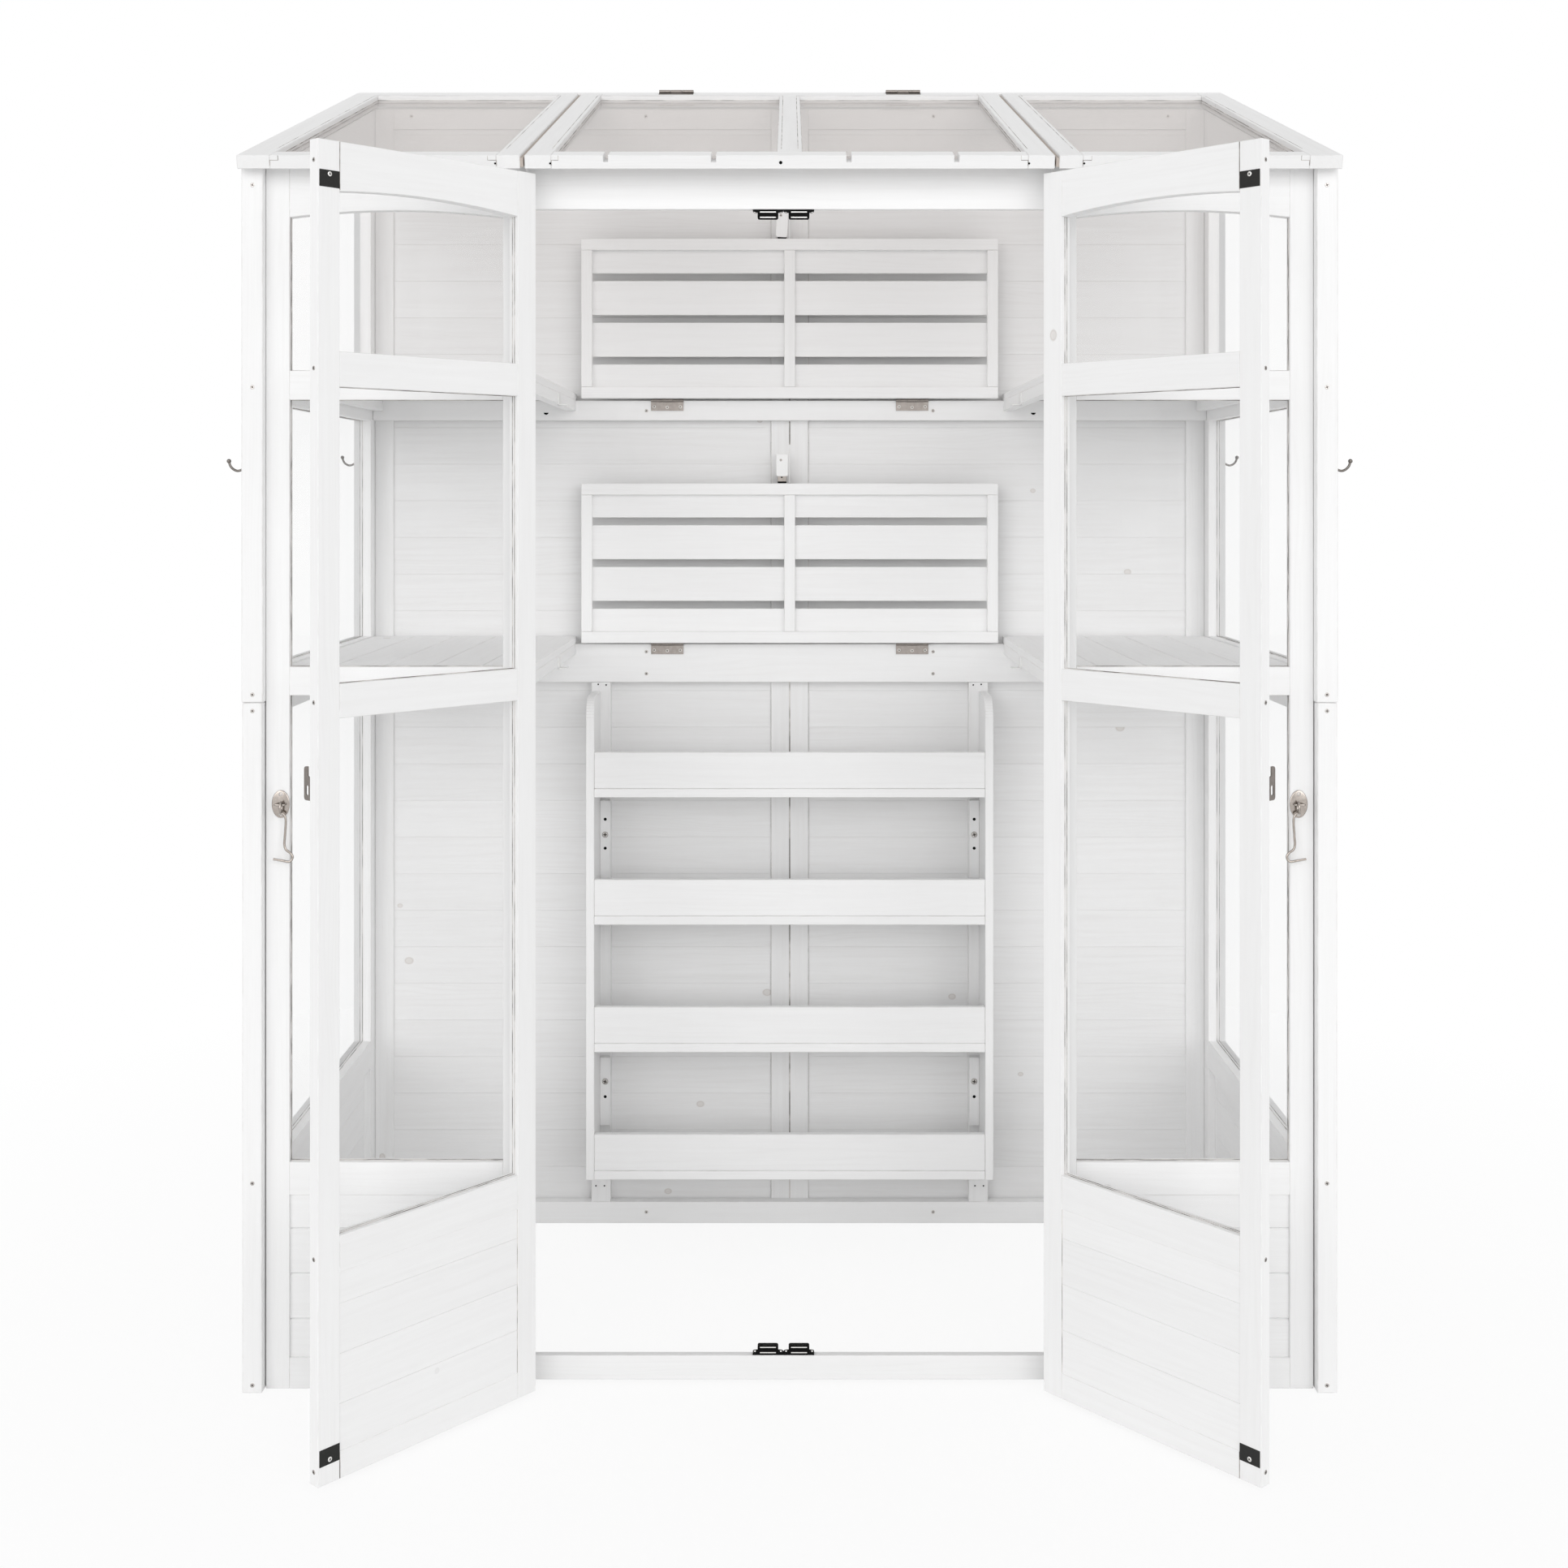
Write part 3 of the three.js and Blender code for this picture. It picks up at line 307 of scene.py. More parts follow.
def plated_steel(name, colour, roughness, cloud_colour, cloud):
    """Plated steel: a clouded metal sheen with fine rubbed scratches.

    Painted shade darkens its marked recesses and eased edges, and a painted reflection of a darker
    room darkens it where it turns away.
    """
    material, tree, shader = begin(name, colour, roughness, 1)
    # Clouds 6 mm across, and scratches 0.6 mm wide, coarser than real ones so that they show
    place = add(tree, "TexCoord", output="Object")
    spots = patches(tree, place, (6.2, 6.2, 6.2), 4.0)
    clouds = add(tree, "MapRange", (spots, 0.38, 0.66, 0.0, cloud))
    scratches = patches(tree, place, (3.8, 0.56, 3.8))
    turning = add(tree, "LayerWeight", {"Blend": 0.5}, "Facing")
    painted_room_reflection = add(tree, "MapRange", (turning, 0.25, 0.85))
    painted_recess_shade = add(tree, "Attribute", output="Fac", attribute_name="arris_wear_and_shade")
    shown = linear(colour)
    # 45403c is a painted reflection of a darker room, #4d4844 painted shade in recesses and on
    # eased edges
    for share, code in ((clouds, cloud_colour), (painted_room_reflection, "#45403c"), (painted_recess_shade, "#4d4844")):
        shown = add(tree, "Mix", {0: share, 6: shown, 7: linear(code)}, 2, data_type="RGBA")
    feed(shader, "Base Color", shown)
    rubbed = add(tree, "MapRange", (scratches, 0.3, 0.7, roughness * 0.75, roughness * 1.3))
    feed(shader, "Roughness", rubbed)
    relief = {"Height": scratches, "Distance": 0.02 * METRE, "Strength": 0.5}
    feed(shader, "Normal", add(tree, "Bump", relief))
    return material


def pebbled(name, colour, fleck, roughness, grain, gloss=0.5):
    """Moulded plastic or paint: fine pebbles, grain millimetres wide, break its gloss."""
    material, tree, shader = begin(name, colour, roughness)
    pebbles = patches(tree, add(tree, "TexCoord", output="Object"), (grain, grain, grain))
    share = add(tree, "MapRange", (pebbles, 0.55, 0.75, 0.0, 0.6))
    colours = {0: share, 6: linear(colour), 7: linear(fleck)}
    feed(shader, "Base Color", add(tree, "Mix", colours, 2, data_type="RGBA"))
    broken = add(tree, "MapRange", (pebbles, 0.3, 0.7, roughness * 0.8, roughness * 1.25))
    feed(shader, "Roughness", broken)
    relief = {"Height": pebbles, "Distance": 0.05 * METRE, "Strength": 0.6}
    feed(shader, "Normal", add(tree, "Bump", relief))
    feed(shader, "Specular IOR Level", gloss)
    return material


def clear_sheet(name, tint, least, most):
    """Clear polycarbonate: lets light straight through and mirrors more towards a grazing view."""
    material, tree, shader = begin(name, "#f4f5f5", 0.06, 1)
    ripple = patches(tree, add(tree, "TexCoord", output="Object"), (330, 330, 330), 2.0)
    feed(shader, "Roughness", add(tree, "MapRange", (ripple, 0.3, 0.7, 0.04, 0.1)))
    facing = add(tree, "LayerWeight", {"Blend": 0.5}, "Facing")
    grazing = add(tree, "Math POWER", (facing, 4.0))
    share = add(tree, "MapRange", (grazing, 0.0, 1.0, least, most))
    through = add(tree, "BsdfTransparent", {"Color": linear(tint)})
    mixed = add(tree, "MixShader", (share, through, shader.outputs[0]))
    feed(tree.nodes["Material Output"], "Surface", mixed)
    return material


def painted_gap_shade(name):
    """Painted shade of the unlit slit between two parts, open in places and closed in others."""
    material, tree, shader = begin(name, "#6d655f", 0.9)
    grain = add(tree, "Attribute", output="Vector", attribute_name="grain")
    share = add(tree, "MapRange", (patches(tree, grain, (45, 45, 45)), 0.42, 0.58))
    colours = {0: share, 6: linear("#d8d3cf"), 7: linear("#6d655f")}
    feed(shader, "Base Color", add(tree, "Mix", colours, 2, data_type="RGBA"))
    return material


FRAME_FIR = whitewashed_fir("whitewashed fir, planed frames", "#f9f9f9", "#dedbda", 0.15, 0.015)
# The tongued boards' colour is darker than the frames' as painted shade, for the back wall's boards
FIELD_FIR = whitewashed_fir("whitewashed fir, tongued boards", "#f4f4f4", "#d6d2d0", 0.19, 0.07)
ZINC = plated_steel("zinc-plated steel", "#a19a95", 0.38, "#8a847f", 0.6)
NICKEL = plated_steel("polished nickel", "#b6aea7", 0.16, "#9b938c", 0.4)
DARK_NICKEL = plated_steel("dark polished nickel", "#7c7773", 0.14, "#57534f", 0.5)
SCREW_STEEL = plated_steel("zinc screw heads", "#d2cecb", 0.35, "#b0aba7", 0.5)
POLE_STEEL = plated_steel("bright magnet poles", "#f2f1ef", 0.3, "#dddad7", 0.5)
WHITE_STEEL = pebbled("white enamelled steel", "#f1f1f0", "#e2e0de", 0.4, 1.2)
BLACK_PLASTIC = pebbled("black moulded plastic", "#060606", "#111211", 0.55, 0.8, 0.08)
BLACK_PAINT = pebbled("black painted steel", "#1d1d1c", "#474644", 0.55, 0.6, 0.3)
CLEAR = clear_sheet("clear polycarbonate", "#ffffff", 0.004, 0.25)
# The roof's sheets are tinted greyer than the wall's: painted shade
ROOF_CLEAR = clear_sheet("clear polycarbonate of the roof", "#f2f0ef", 0.03, 0.3)
# Thin strips of this material are painted shade, standing in for shadowed slits and joints
GAP = painted_gap_shade("slit along the glazing")
FELT = pebbled("grey felt", "#beb4ac", "#a79c94", 0.9, 1.5, 0.1)
SLOTS = {NICKEL: "nickel", DARK_NICKEL: "nickel", BLACK_PLASTIC: "black_plastic",
         BLACK_PAINT: "black_plastic"}
SLOTS.update(dict.fromkeys((ZINC, SCREW_STEEL, POLE_STEEL, WHITE_STEEL), "zinc_steel"))


# Building pieces

def circle(count):
    """Points on a circle of radius 1."""
    angles = [tau * n / count for n in range(count)]
    return [(cos(a), sin(a)) for a in angles]


def upright_to(direction):
    """The turn that brings the Z axis to a direction."""
    return Vector((0, 0, 1)).rotation_difference(Vector(direction).normalized()).to_matrix()


class Piece:
    """Closed shapes gathered in millimetres, with what their material needs on each point."""

    # A shade below 1 darkens all of a piece's colour: painted shade
    def __init__(self, name, material, body="house", matrix=STRAIGHT, cap=None, shade=1.0):
        self.name, self.material, self.body, self.matrix = name, material, body, matrix
        self.cap, self.shade = cap, shade
        self.chance = random.Random(name)
        self.points, self.faces, self.grain, self.tone, self.arris_wear_and_shade = [], [], [], [], []

    def closed(self, corners, faces, axis, edge, marked=()):
        """Adds one closed shape with its edges eased, its grain running along axis 0, 1 or 2.

        Marked faces count as arrises in the material, which darkens them: worn stain and painted
        shade in wood, painted shade in steel. Shapes are cut off at the piece's cap.
        """
        work = bmesh.new()
        spots = [work.verts.new(corner) for corner in corners]
        for face in faces:
            work.faces.new([spots[number] for number in face])
        bmesh.ops.recalc_face_normals(work, faces=work.faces)
        eased = set()
        if edge:
            made = bmesh.ops.bevel(work, geom=list(work.edges), offset=edge, affect="EDGES",
                                   segments=2 if edge > 1 else 1, profile=0.5,
                                   clamp_overlap=True)
            eased = set(made["faces"])
        work.verts.index_update()
        low, high = ([end(c[n] for c in corners) for n in range(3)] for end in (min, max))
        others = (n for n in range(3) if n != axis)
        wide, thick = sorted(others, key=lambda n: low[n] - high[n])
        middle = [(high[n] + low[n]) / 2 for n in range(3)]
        drift = [self.chance.uniform(*span) for span in ((0, 9), (-0.03, 0.03), (-0.02, 0.02))]
        whole = self.chance.uniform(-0.5, 0.5)
        tone = self.shade * (1 - 0.022 * self.chance.random())
        start = len(self.points)
        for vert in work.verts:
            place = vert.co.copy()
            if self.cap:
                place.z = min(place.z, self.cap(place.y))
            self.points.append(place)
            local = [(place[n] - middle[n]) * METRE for n in range(3)]
            self.grain.append((local[axis] + drift[0], local[wide] + drift[1] + whole * 0.06,
                               local[thick] + drift[2]))
            self.tone.append(tone)
        for number, face in enumerate(work.faces):
            self.faces.append([start + vert.index for vert in face.verts])
            self.arris_wear_and_shade += [1.0 if face in eased or number in marked else 0.0] * len(face.verts)
        work.free()

    def prism(self, outline, axis, span, along=None, edge=ARRIS):
        """An outline in the two axes that follow axis in XYZ order, run over span."""
        number = "xyz".index(axis)
        corners = [[*spot[:number], level, *spot[number:]]
                   for level in sorted(span) for spot in outline]
        count = len(outline)
        faces = [list(range(count)), list(range(count, 2 * count))]
        faces += [[n, (n + 1) % count, (n + 1) % count + count, n + count] for n in range(count)]
        self.closed(corners, faces, "xyz".index(along or axis), edge)

    def box(self, xs, ys, zs, along="z", edge=ARRIS):
        (y0, y1), (z0, z1) = sorted(ys), sorted(zs)
        self.prism([(y0, z0), (y1, z0), (y1, z1), (y0, z1)], "x", xs, along, edge)

    def loft(self, rings, axis=2):
        """A closed skin over rings of points, one after the other."""
        count = len(rings[0])
        last = count * (len(rings) - 1)
        faces = [[low + n, low + (n + 1) % count, low + (n + 1) % count + count, low + n + count]
                 for low in range(0, last, count) for n in range(count)]
        faces += [list(range(count)), list(range(last, last + count))]
        self.closed([spot for ring in rings for spot in ring], faces, axis, 0)

    def turned(self, profile, centre, direction, facets=20):
        """A profile of (distance along, radius) turned round a line from centre in a direction."""
        turn = upright_to(direction)
        self.loft([[turn @ Vector((radius * x, radius * y, rise)) + Vector(centre)
                    for x, y in circle(facets)] for rise, radius in profile])

    def wire(self, bends, radius, facets=14, steps=8):
        """A round wire along a smooth curve through the bends, or straight between at one step."""
        path = smooth(bends, steps)
        rings = []
        normal = None
        for number, spot in enumerate(path):
            ahead = (path[min(number + 1, len(path) - 1)] - path[max(number - 1, 0)]).normalized()
            normal = ahead.orthogonal() if normal is None else normal - ahead * normal.dot(ahead)
            normal.normalize()
            other = ahead.cross(normal)
            rings.append([spot + (normal * x + other * y) * radius for x, y in circle(facets)])
        self.loft(rings, 0)

    def screw(self, at, radius, rise=0.5, facing=(0, -1, 0)):
        """A screw head that rises over the wood, with a cross recess marked for painted shade."""
        turn = upright_to(facing) @ Matrix.Rotation(self.chance.uniform(0, tau), 3, "Z")
        arm, reach = radius * 0.17, radius * 0.6
        cross = [(reach, arm), (arm, arm), (arm, reach)]
        while len(cross) < 12:
            cross += [(-b, a) for a, b in cross[-3:]]
        rim = circle(20)
        work = bmesh.new()

        def ring(spots, scale, level):
            return [work.verts.new(turn @ Vector((a * scale, b * scale, level)) + Vector(at))
                    for a, b in spots]

        def wall(low, high):
            count = len(low)
            for n in range(count):
                work.faces.new([low[n], low[(n + 1) % count], high[(n + 1) % count], high[n]])

        sunk, edge = ring(rim, radius, -0.4), ring(rim, radius, rise * 0.4)
        top = ring(rim, radius * 0.82, rise)
        mouth, floor = ring(cross, 1, rise), ring(cross, 0.85, 0.05)
        wall(mouth, floor)
        work.faces.new(floor)
        painted_recess_shade = range(len(cross) + 1)
        wall(sunk, edge)
        wall(edge, top)
        work.faces.new(sunk)
        rims = [work.edges.get(pair) for loop in (top, mouth)
                for pair in zip(loop, loop[1:] + loop[:1])]
        bmesh.ops.triangle_fill(work, edges=rims, use_beauty=True)
        bmesh.ops.recalc_face_normals(work, faces=work.faces)
        work.verts.index_update()
        corners = [vert.co.copy() for vert in work.verts]
        faces = [[vert.index for vert in face.verts] for face in work.faces]
        work.free()
        self.closed(corners, faces, 2, 0, marked=painted_recess_shade)

    def plug(self, at, radius):
        """A small round plug that faces the front, slightly domed over the wood."""
        self.turned([(-0.4, radius), (0.15, radius), (0.35, radius * 0.75)], at, (0, -1, 0), 18)

    def make(self, *replaced, slot=None, smoothed=False):
        """Turns what was gathered into one mesh in the frame, riding on its body."""
        mesh = bpy.data.meshes.new(self.name)
        mesh.from_pydata([TO_FRAME @ self.matrix @ point for point in self.points], [], self.faces)
        grain = mesh.attributes.new("grain", "FLOAT_VECTOR", "POINT")
        grain.data.foreach_set("vector", [number for spot in self.grain for number in spot])
        mesh.attributes.new("tone", "FLOAT", "POINT").data.foreach_set("value", self.tone)
        # The arris mark carries painted shade, and in wood also worn stain
        mesh.attributes.new("arris_wear_and_shade", "FLOAT", "CORNER").data.foreach_set("value", self.arris_wear_and_shade)
        mesh.materials.append(self.material)
        if smoothed:
            mesh.shade_smooth()
            mesh.set_sharp_from_angle(angle=radians(35))
        mesh.update()
        made = stand(self.name, mesh)
        slot = slot or SLOTS.get(self.material, "whitewashed_wood")
        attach(made, self.body)
        if replaced:
            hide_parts(*replaced)


def smooth(bends, steps):
    """Points on a centripetal Catmull-Rom curve through the bends."""
    spots = [Vector(bend) for bend in bends]
    spots = [2 * spots[0] - spots[1]] + spots + [2 * spots[-1] - spots[-2]]
    path = []
    for number in range(1, len(spots) - 2):
        four = spots[number - 1:number + 3]
        times = [0.0]
        for first, second in zip(four, four[1:]):
            times.append(times[-1] + max((second - first).length, 1e-6) ** 0.5)
        for step in range(steps):
            time = times[1] + (times[2] - times[1]) * step / steps

            def blend(first, second, begin, end):
                share = (time - begin) / (end - begin)
                return first * (1 - share) + second * share

            one = [blend(four[n], four[n + 1], times[n], times[n + 1]) for n in range(3)]
            two = [blend(one[n], one[n + 1], times[n], times[n + 2]) for n in range(2)]
            path.append(blend(two[0], two[1], times[1], times[2]))
    return path + [spots[-2]]


def knuckle(piece, span, radius, centre, direction):
    """A hinge knuckle with eased ends, over a span of the line through centre."""
    low, high = span
    profile = [(low, radius - 0.3), (low + 0.3, radius), (high - 0.3, radius), (high, radius - 0.3)]
    piece.turned(profile, centre, direction, 24)


def board_profile(face, back, bottom, top, grooved):
    """Section of a tongued board: V on the outer face, a hairline joint on the inner one.

    Grooved tells whether the board meets another at its bottom and at its top.
    """
    out = 1 if back > face else -1
    lower, upper = grooved
    slit, vee = 0.15, 2.0
    inside, root = back - out * 0.8, face + out * (vee + 1.2)
    spots = []
    if lower:
        spots += [(inside, bottom), (inside, bottom + slit), (back, bottom + slit + 0.2)]
    else:
        spots += [(back, bottom)]
    if upper:
        spots += [(back, top - slit - 0.2), (inside, top - slit), (inside, top), (root, top),
                  (root, top - slit), (face + out * vee, top - slit), (face, top - vee)]
    else:
        spots += [(back, top), (face, top)]
    if lower:
        spots += [(face, bottom + vee), (face + out * vee, bottom + slit), (root, bottom + slit),
                  (root, bottom)]
    else:
        spots += [(face, bottom)]
    return spots


def boarded(piece, axis, span, face, back, bottom, top, first_joint, pitch=65):
    """A field of tongued boards that run along an axis between two heights."""
    heights = [bottom]
    joint = first_joint
    while joint < top - 5:
        heights.append(joint)
        joint += pitch
    heights.append(top)
    for number, (low, high) in enumerate(zip(heights, heights[1:])):
        joints = (number > 0, number < len(heights) - 2)
        piece.prism(board_profile(face, back, low, high, joints), axis, span, edge=0)


def slit_shade(name, body, matrix, sheet, lights, order="xyz", arched=False):
    """Painted shade: dark hairlines on both faces of a clear sheet, round each light but for an
    arch on the last, where the sheet's slit in its frame lies in shade.

    Order tells which axes the light's span, the sheet's thickness and the light's height lie on.
    """
    piece = Piece(name, GAP, body, matrix)
    width = 0.6
    for (low, high), (bottom, top) in lights:
        runs = [((low, low + width), (bottom, top), order[2]),
                ((high - width, high), (bottom, top), order[2]),
                ((low, high), (bottom, bottom + width), order[0])]
        if not arched or top != lights[-1][1][1]:
            runs.append(((low, high), (top - width, top), order[0]))
        for face, out in ((sheet[0], -1), (sheet[1], 1)):
            through = (face, face + out * 0.5)
            for span, up, along in runs:
                sides = dict(zip(order, (span, through, up)))
                piece.box(sides["x"], sides["y"], sides["z"], along, edge=0)
    piece.make()


def lone_board(name, xs, ys, zs, along="z", edge=ARRIS, **looks):
    """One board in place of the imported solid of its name."""
    board = Piece(f"{name}_board", FRAME_FIR, **looks)
    board.box(xs, ys, zs, along, edge)
    board.make(name)


def glazed_leaf(piece, along, through, up, leaf):
    """Two stiles, three rails, an arched top rail and a boarded field over a bottom rail."""
    inner = between_stiles(along)
    foot, top = up
    for stile in ((along[0], inner[0]), (inner[1], along[1])):
        piece.box(stile, through, up)
    for rail in ((foot, leaf["bottom"]), leaf["sill"], leaf["low"], leaf["high"]):
        piece.box(inner, through, rail, "x")
    end, middle = leaf["arch"]
    width, rise = inner[1] - inner[0], 4 * (middle - end)
    arch = [(inner[0] + width * share, end + rise * share * (1 - share))
            for share in (step / 16 for step in range(17))]
    piece.prism(arch + [(inner[1], top), (inner[0], top)], "y", through, "x")
    boarded(piece, "x", inner, through[0] + 4, through[1] - 1, leaf["bottom"], leaf["sill"][0],
            leaf["joint"])


def between_stiles(along):
    return (along[0] + STILE, along[1] - STILE)


def lights_of(leaf, along):
    """The three lights of a leaf, from its sill rail up to its arch."""
    ends = (*leaf["sill"], *leaf["low"], *leaf["high"], leaf["arch"][0])
    return [(between_stiles(along), up) for up in zip(ends[1::2], ends[2::2])]


# Corner posts
POSTS = {"lower": ((754.2, 782.8), (0, SEAM - 0.3)),
         "upper": ((753, HALF_WIDTH), (SEAM, FRONT_CUT))}
for word, side in SIDES.items():
    for part, (reach, up) in POSTS.items():
        xs = across(side, *reach)
        lone_board(f"corner_post_{word}_{part}", xs, (0, POST_DEPTH), up, edge=1.6, cap=under_roof)

# Front panels
for word, side in SIDES.items():
    panel = Piece(f"front_panel_{word}_boards", FRAME_FIR, cap=under_roof)
    along = across(side, DOORWAY_HALF, PANEL_OUTER)
    glazed_leaf(panel, along, FRONT, (0, FRONT_CUT), PANEL_LEAF)
    panel.make(f"front_panel_{word}")
    slit_shade(f"front_slits_{word}", "house", STRAIGHT, FRONT_SHEET, lights_of(PANEL_LEAF, along),
          arched=True)

# Lintel and threshold; the threshold's colour is darkened to 0.9 as painted shade
for name, up, shade in (("lintel", (LINTEL_BOTTOM, FRONT_CUT), 1), ("threshold", THRESHOLD, 0.9)):
    lone_board(name, around(0, STOP_HALF), STOP, up, "x", cap=under_roof, shade=shade)

# Side walls, in a lower and an upper frame that meet at the seam of the posts
for word, side in SIDES.items():
    wall = Piece(f"side_wall_{word}_boards", FRAME_FIR, cap=under_roof)
    through = across(side, *WALL)
    front, rear = WALL_DEPTH
    run = (front + WALL_STILE, rear - WALL_STILE)
    for stile in ((front, run[0]), (run[1], rear)):
        wall.box(through, stile, (0, SEAM - 0.2))
        wall.box(through, stile, (SEAM + 0.2, BACK_CUT))
    for rail in WALL_RAILS:
        wall.box(through, run, rail, "y")
    top_rail = [(y, under_roof(y) - WALL_TOP_RAIL) for y in run]
    wall.prism(top_rail + [(run[1], BACK_CUT), (run[0], BACK_CUT)], "x", through, "y")
    faces = [side * face for face in WALL_BOARDS]
    boarded(wall, "y", run, *faces, PANEL_LEAF["bottom"], SILL[0], PANEL_LEAF["joint"])
    wall.make(f"side_wall_{word}")
    lights = [(run, (WALL_RAILS[n][1], WALL_RAILS[n + 1][0])) for n in (1, 3)]
    slit_shade(f"side_slits_{word}", "house", STRAIGHT, across(side, *SIDE_SHEET), lights, "yxz")

# Back wall with the studs of the rack
for word, side in SIDES.items():
    wall = Piece(f"back_wall_{word}_boards", FIELD_FIR, cap=under_roof)
    run = across(side, BACK_STILE, BACK_HALF - BACK_STILE)
    for stile in ((0.3, BACK_STILE), (BACK_HALF - BACK_STILE, BACK_HALF)):
        wall.box(across(side, *stile), BACK, (0, BACK_CUT))
    low, high = HINGE_RAILS["lower"]
    top = under_roof(BACK[0]) - BACK_RAIL
    for rail in ((0, BACK_RAIL), (low, high), (top, BACK_CUT)):
        wall.box(run, BACK, rail, "x")
    boarded(wall, "x", run, *BACK_BOARDS, BACK_RAIL, low, 93)
    boarded(wall, "x", run, *BACK_BOARDS, high, top, 1080)
    wall.box(across(side, 316, 350), (RAIL_FRONT, 690.5), (38, 954.7))
    wall.make(f"back_wall_{word}")

# Catch blocks, which hold the folding shelves by a magnet
blocks = Piece("catch_blocks", FRAME_FIR)
magnets = Piece("catch_magnets", BLACK_PLASTIC)
clips = Piece("catch_clips", ZINC)
block_screws = Piece("catch_block_screws", SCREW_STEEL)
for rail, lean, clip in zip(HINGE_RAILS.values(), (0, radians(-3)), (9.5, 0)):
    low = rail[1] + SHELF_CLEARANCE + SHELF_HEIGHT + 1
    bottom, top = low + 2 + clip, low + CATCH_BLOCK_HEIGHT
    middle = (-13.25, (bottom + top) / 2)
    half = top - middle[1]
    along, aside = cos(lean), sin(lean)
    outline = [(middle[0] + a * along - b * aside, middle[1] + a * aside + b * along)
               for a, b in ((-7.85, -half), (7.85, -half), (10.35, 2.5 - half),
                            (10.35, half), (-10.35, half), (-10.35, 2.5 - half))]
    blocks.prism(outline, "y", CATCH_BLOCK, "z", edge=0.8)
    magnets.box(CATCH_MAGNET, (650, CATCH_BLOCK[1]), (low, low + 2.6), "x", edge=0.3)
    block_screws.screw((-15.5, CATCH_BLOCK[0], low + 40), 2.6)
    if clip:
        span = (low + 2.4, bottom + 0.5)
        clips.box(CATCH_MAGNET, (649.5, CATCH_BLOCK[1]), span, "x", edge=0.3)
        magnets.plug((-14, 649.5, bottom - 1.7), 1.5)
blocks.make()
magnets.make()
clips.make()
block_screws.make()

# A rail along the foot of the back wall, and dark hairlines of painted shade where the wall's
# halves meet and where its stiles meet the boards
foot = Piece("back_bottom_rail_board", FRAME_FIR)
foot.box(around(0, BACK_HALF), (RAIL_FRONT, 685.8), (0, 37.9), "x")
foot.make()
joints = Piece("back_wall_joints", GAP)
for low, high in ((38, 954), (1023, 1307), (1375, 1416), (1452.5, 1736), (1790, 1940)):
    joints.box(around(0, 0.8), (RAIL_BACK, 686.5), (low, high), edge=0)
for side in BOTH:
    for low, high in ((38, 954), (1023, 1416), (1452.5, 1940)):
        joints.box(across(side, 32.8, 33.4), (689.2, 690.2), (low, high), edge=0)
joints.make()

# Doors, with painted shade for the open joints on their stiles, their strikes and the moving halves
# of their hinges
for word, side in SIDES.items():
    matrix, body = opened(side), f"{word}_door"
    door = Piece(f"door_{word}_boards", FRAME_FIR, body, matrix)
    along = across(side, *DOOR_EDGES)
    glazed_leaf(door, along, DOOR, DOOR_HEIGHT, DOOR_LEAF)
    door.make(f"door_{word}")
    slit_shade(f"door_slits_{word}", body, matrix, DOOR_SHEET, lights_of(DOOR_LEAF, along), arched=True)
    joint = Piece(f"door_joint_{word}", GAP, body, matrix)
    joint.box(across(side, 340.5, 341.2), (30.3, 30.8), (41.4, 272.6), edge=0)
    for low, high in ((1680, 1742.6), (5.4, 40)):
        joint.box(across(side, 36.3, 37), (31.2, 31.8), (low, high), edge=0)
    joint.make()
    strikes = Piece(f"door_strikes_{word}", BLACK_PAINT, body, matrix)
    strike_screws = Piece(f"door_strike_screws_{word}", POLE_STEEL, body, matrix)
    for low, high, height in STRIKES:
        strikes.box(across(side, 4.5, 36.3), (31, 32.1), (low, high), edge=0.4)
        washer = [(0, 4.6), (0.3, 4.6), (0.5, 4.2)]
        strikes.turned(washer, (side * 20.5, 31.9, height), (0, 1, 0))
        strike_screws.screw((side * 20.5, 32.2, height), 3.2, facing=(0, 1, 0))
    strikes.make(smoothed=True)
    strike_screws.make()
    leaves = Piece(f"door_hinge_leaves_{word}", ZINC, body, matrix)
    plate = across(side, 375, 376.2)
    x, y = side * PIN[0], PIN[1]
    for height in HINGE_HEIGHTS:
        leaves.box(plate, (y + 3.3, y + 17), around(height, HINGE_HALF), edge=0.2)
        leaves.box(plate, (y, y + 4), around(height, KNUCKLE_HALF), edge=0.2)
        knuckle(leaves, around(0, KNUCKLE_HALF), 3, (x, y, height), (0, 0, 1))
    leaves.make(smoothed=True)

# A filled hole in the left door
filling = Piece("door_filled_hole", FIELD_FIR, "left_door", opened(-1))
filling.turned([(-0.4, 4.2), (0.1, 4.2), (0.25, 3.9)], (-197, 30.5, 91.8), (0, 1, 0), 24)
filling.make()

# Roof: two fixed side panels and the lifting one between them
def roof_frame(piece, along, stiles):
    """The stiles and rear rail of a roof panel; gives the span between the stiles."""
    inner = (along[0] + stiles[0], along[1] - stiles[1])
    for stile in ((along[0], inner[0]), (inner[1], along[1])):
        piece.box(stile, (0, ROOF_LENGTH), (0, ROOF_BOARD), "y", edge=1)
    piece.box(inner, (ROOF_LIGHT[1], ROOF_LENGTH), (0, ROOF_BOARD), "x", edge=0.8)
    return inner


def rebate_shade_lines(name, body, lights):
    """Painted shade: dark hairlines 6 mm outside the roof's lights, where its frames are rebated
    for sheets.
    """
    lines = Piece(name, GAP, body, TIPPED)
    low, high = ROOF_LIGHT[0] + 30, ROOF_LIGHT[1] + 6
    skin = (ROOF_BOARD - 0.4, ROOF_BOARD + 0.15)
    for start, end in lights:
        for x in (start - 6, end + 6):
            lines.box(around(x, 0.35), (low, high), skin, "y", edge=0)
        lines.box((start - 6, end + 6), (high - 0.7, high), skin, "x", edge=0)
    lines.make()


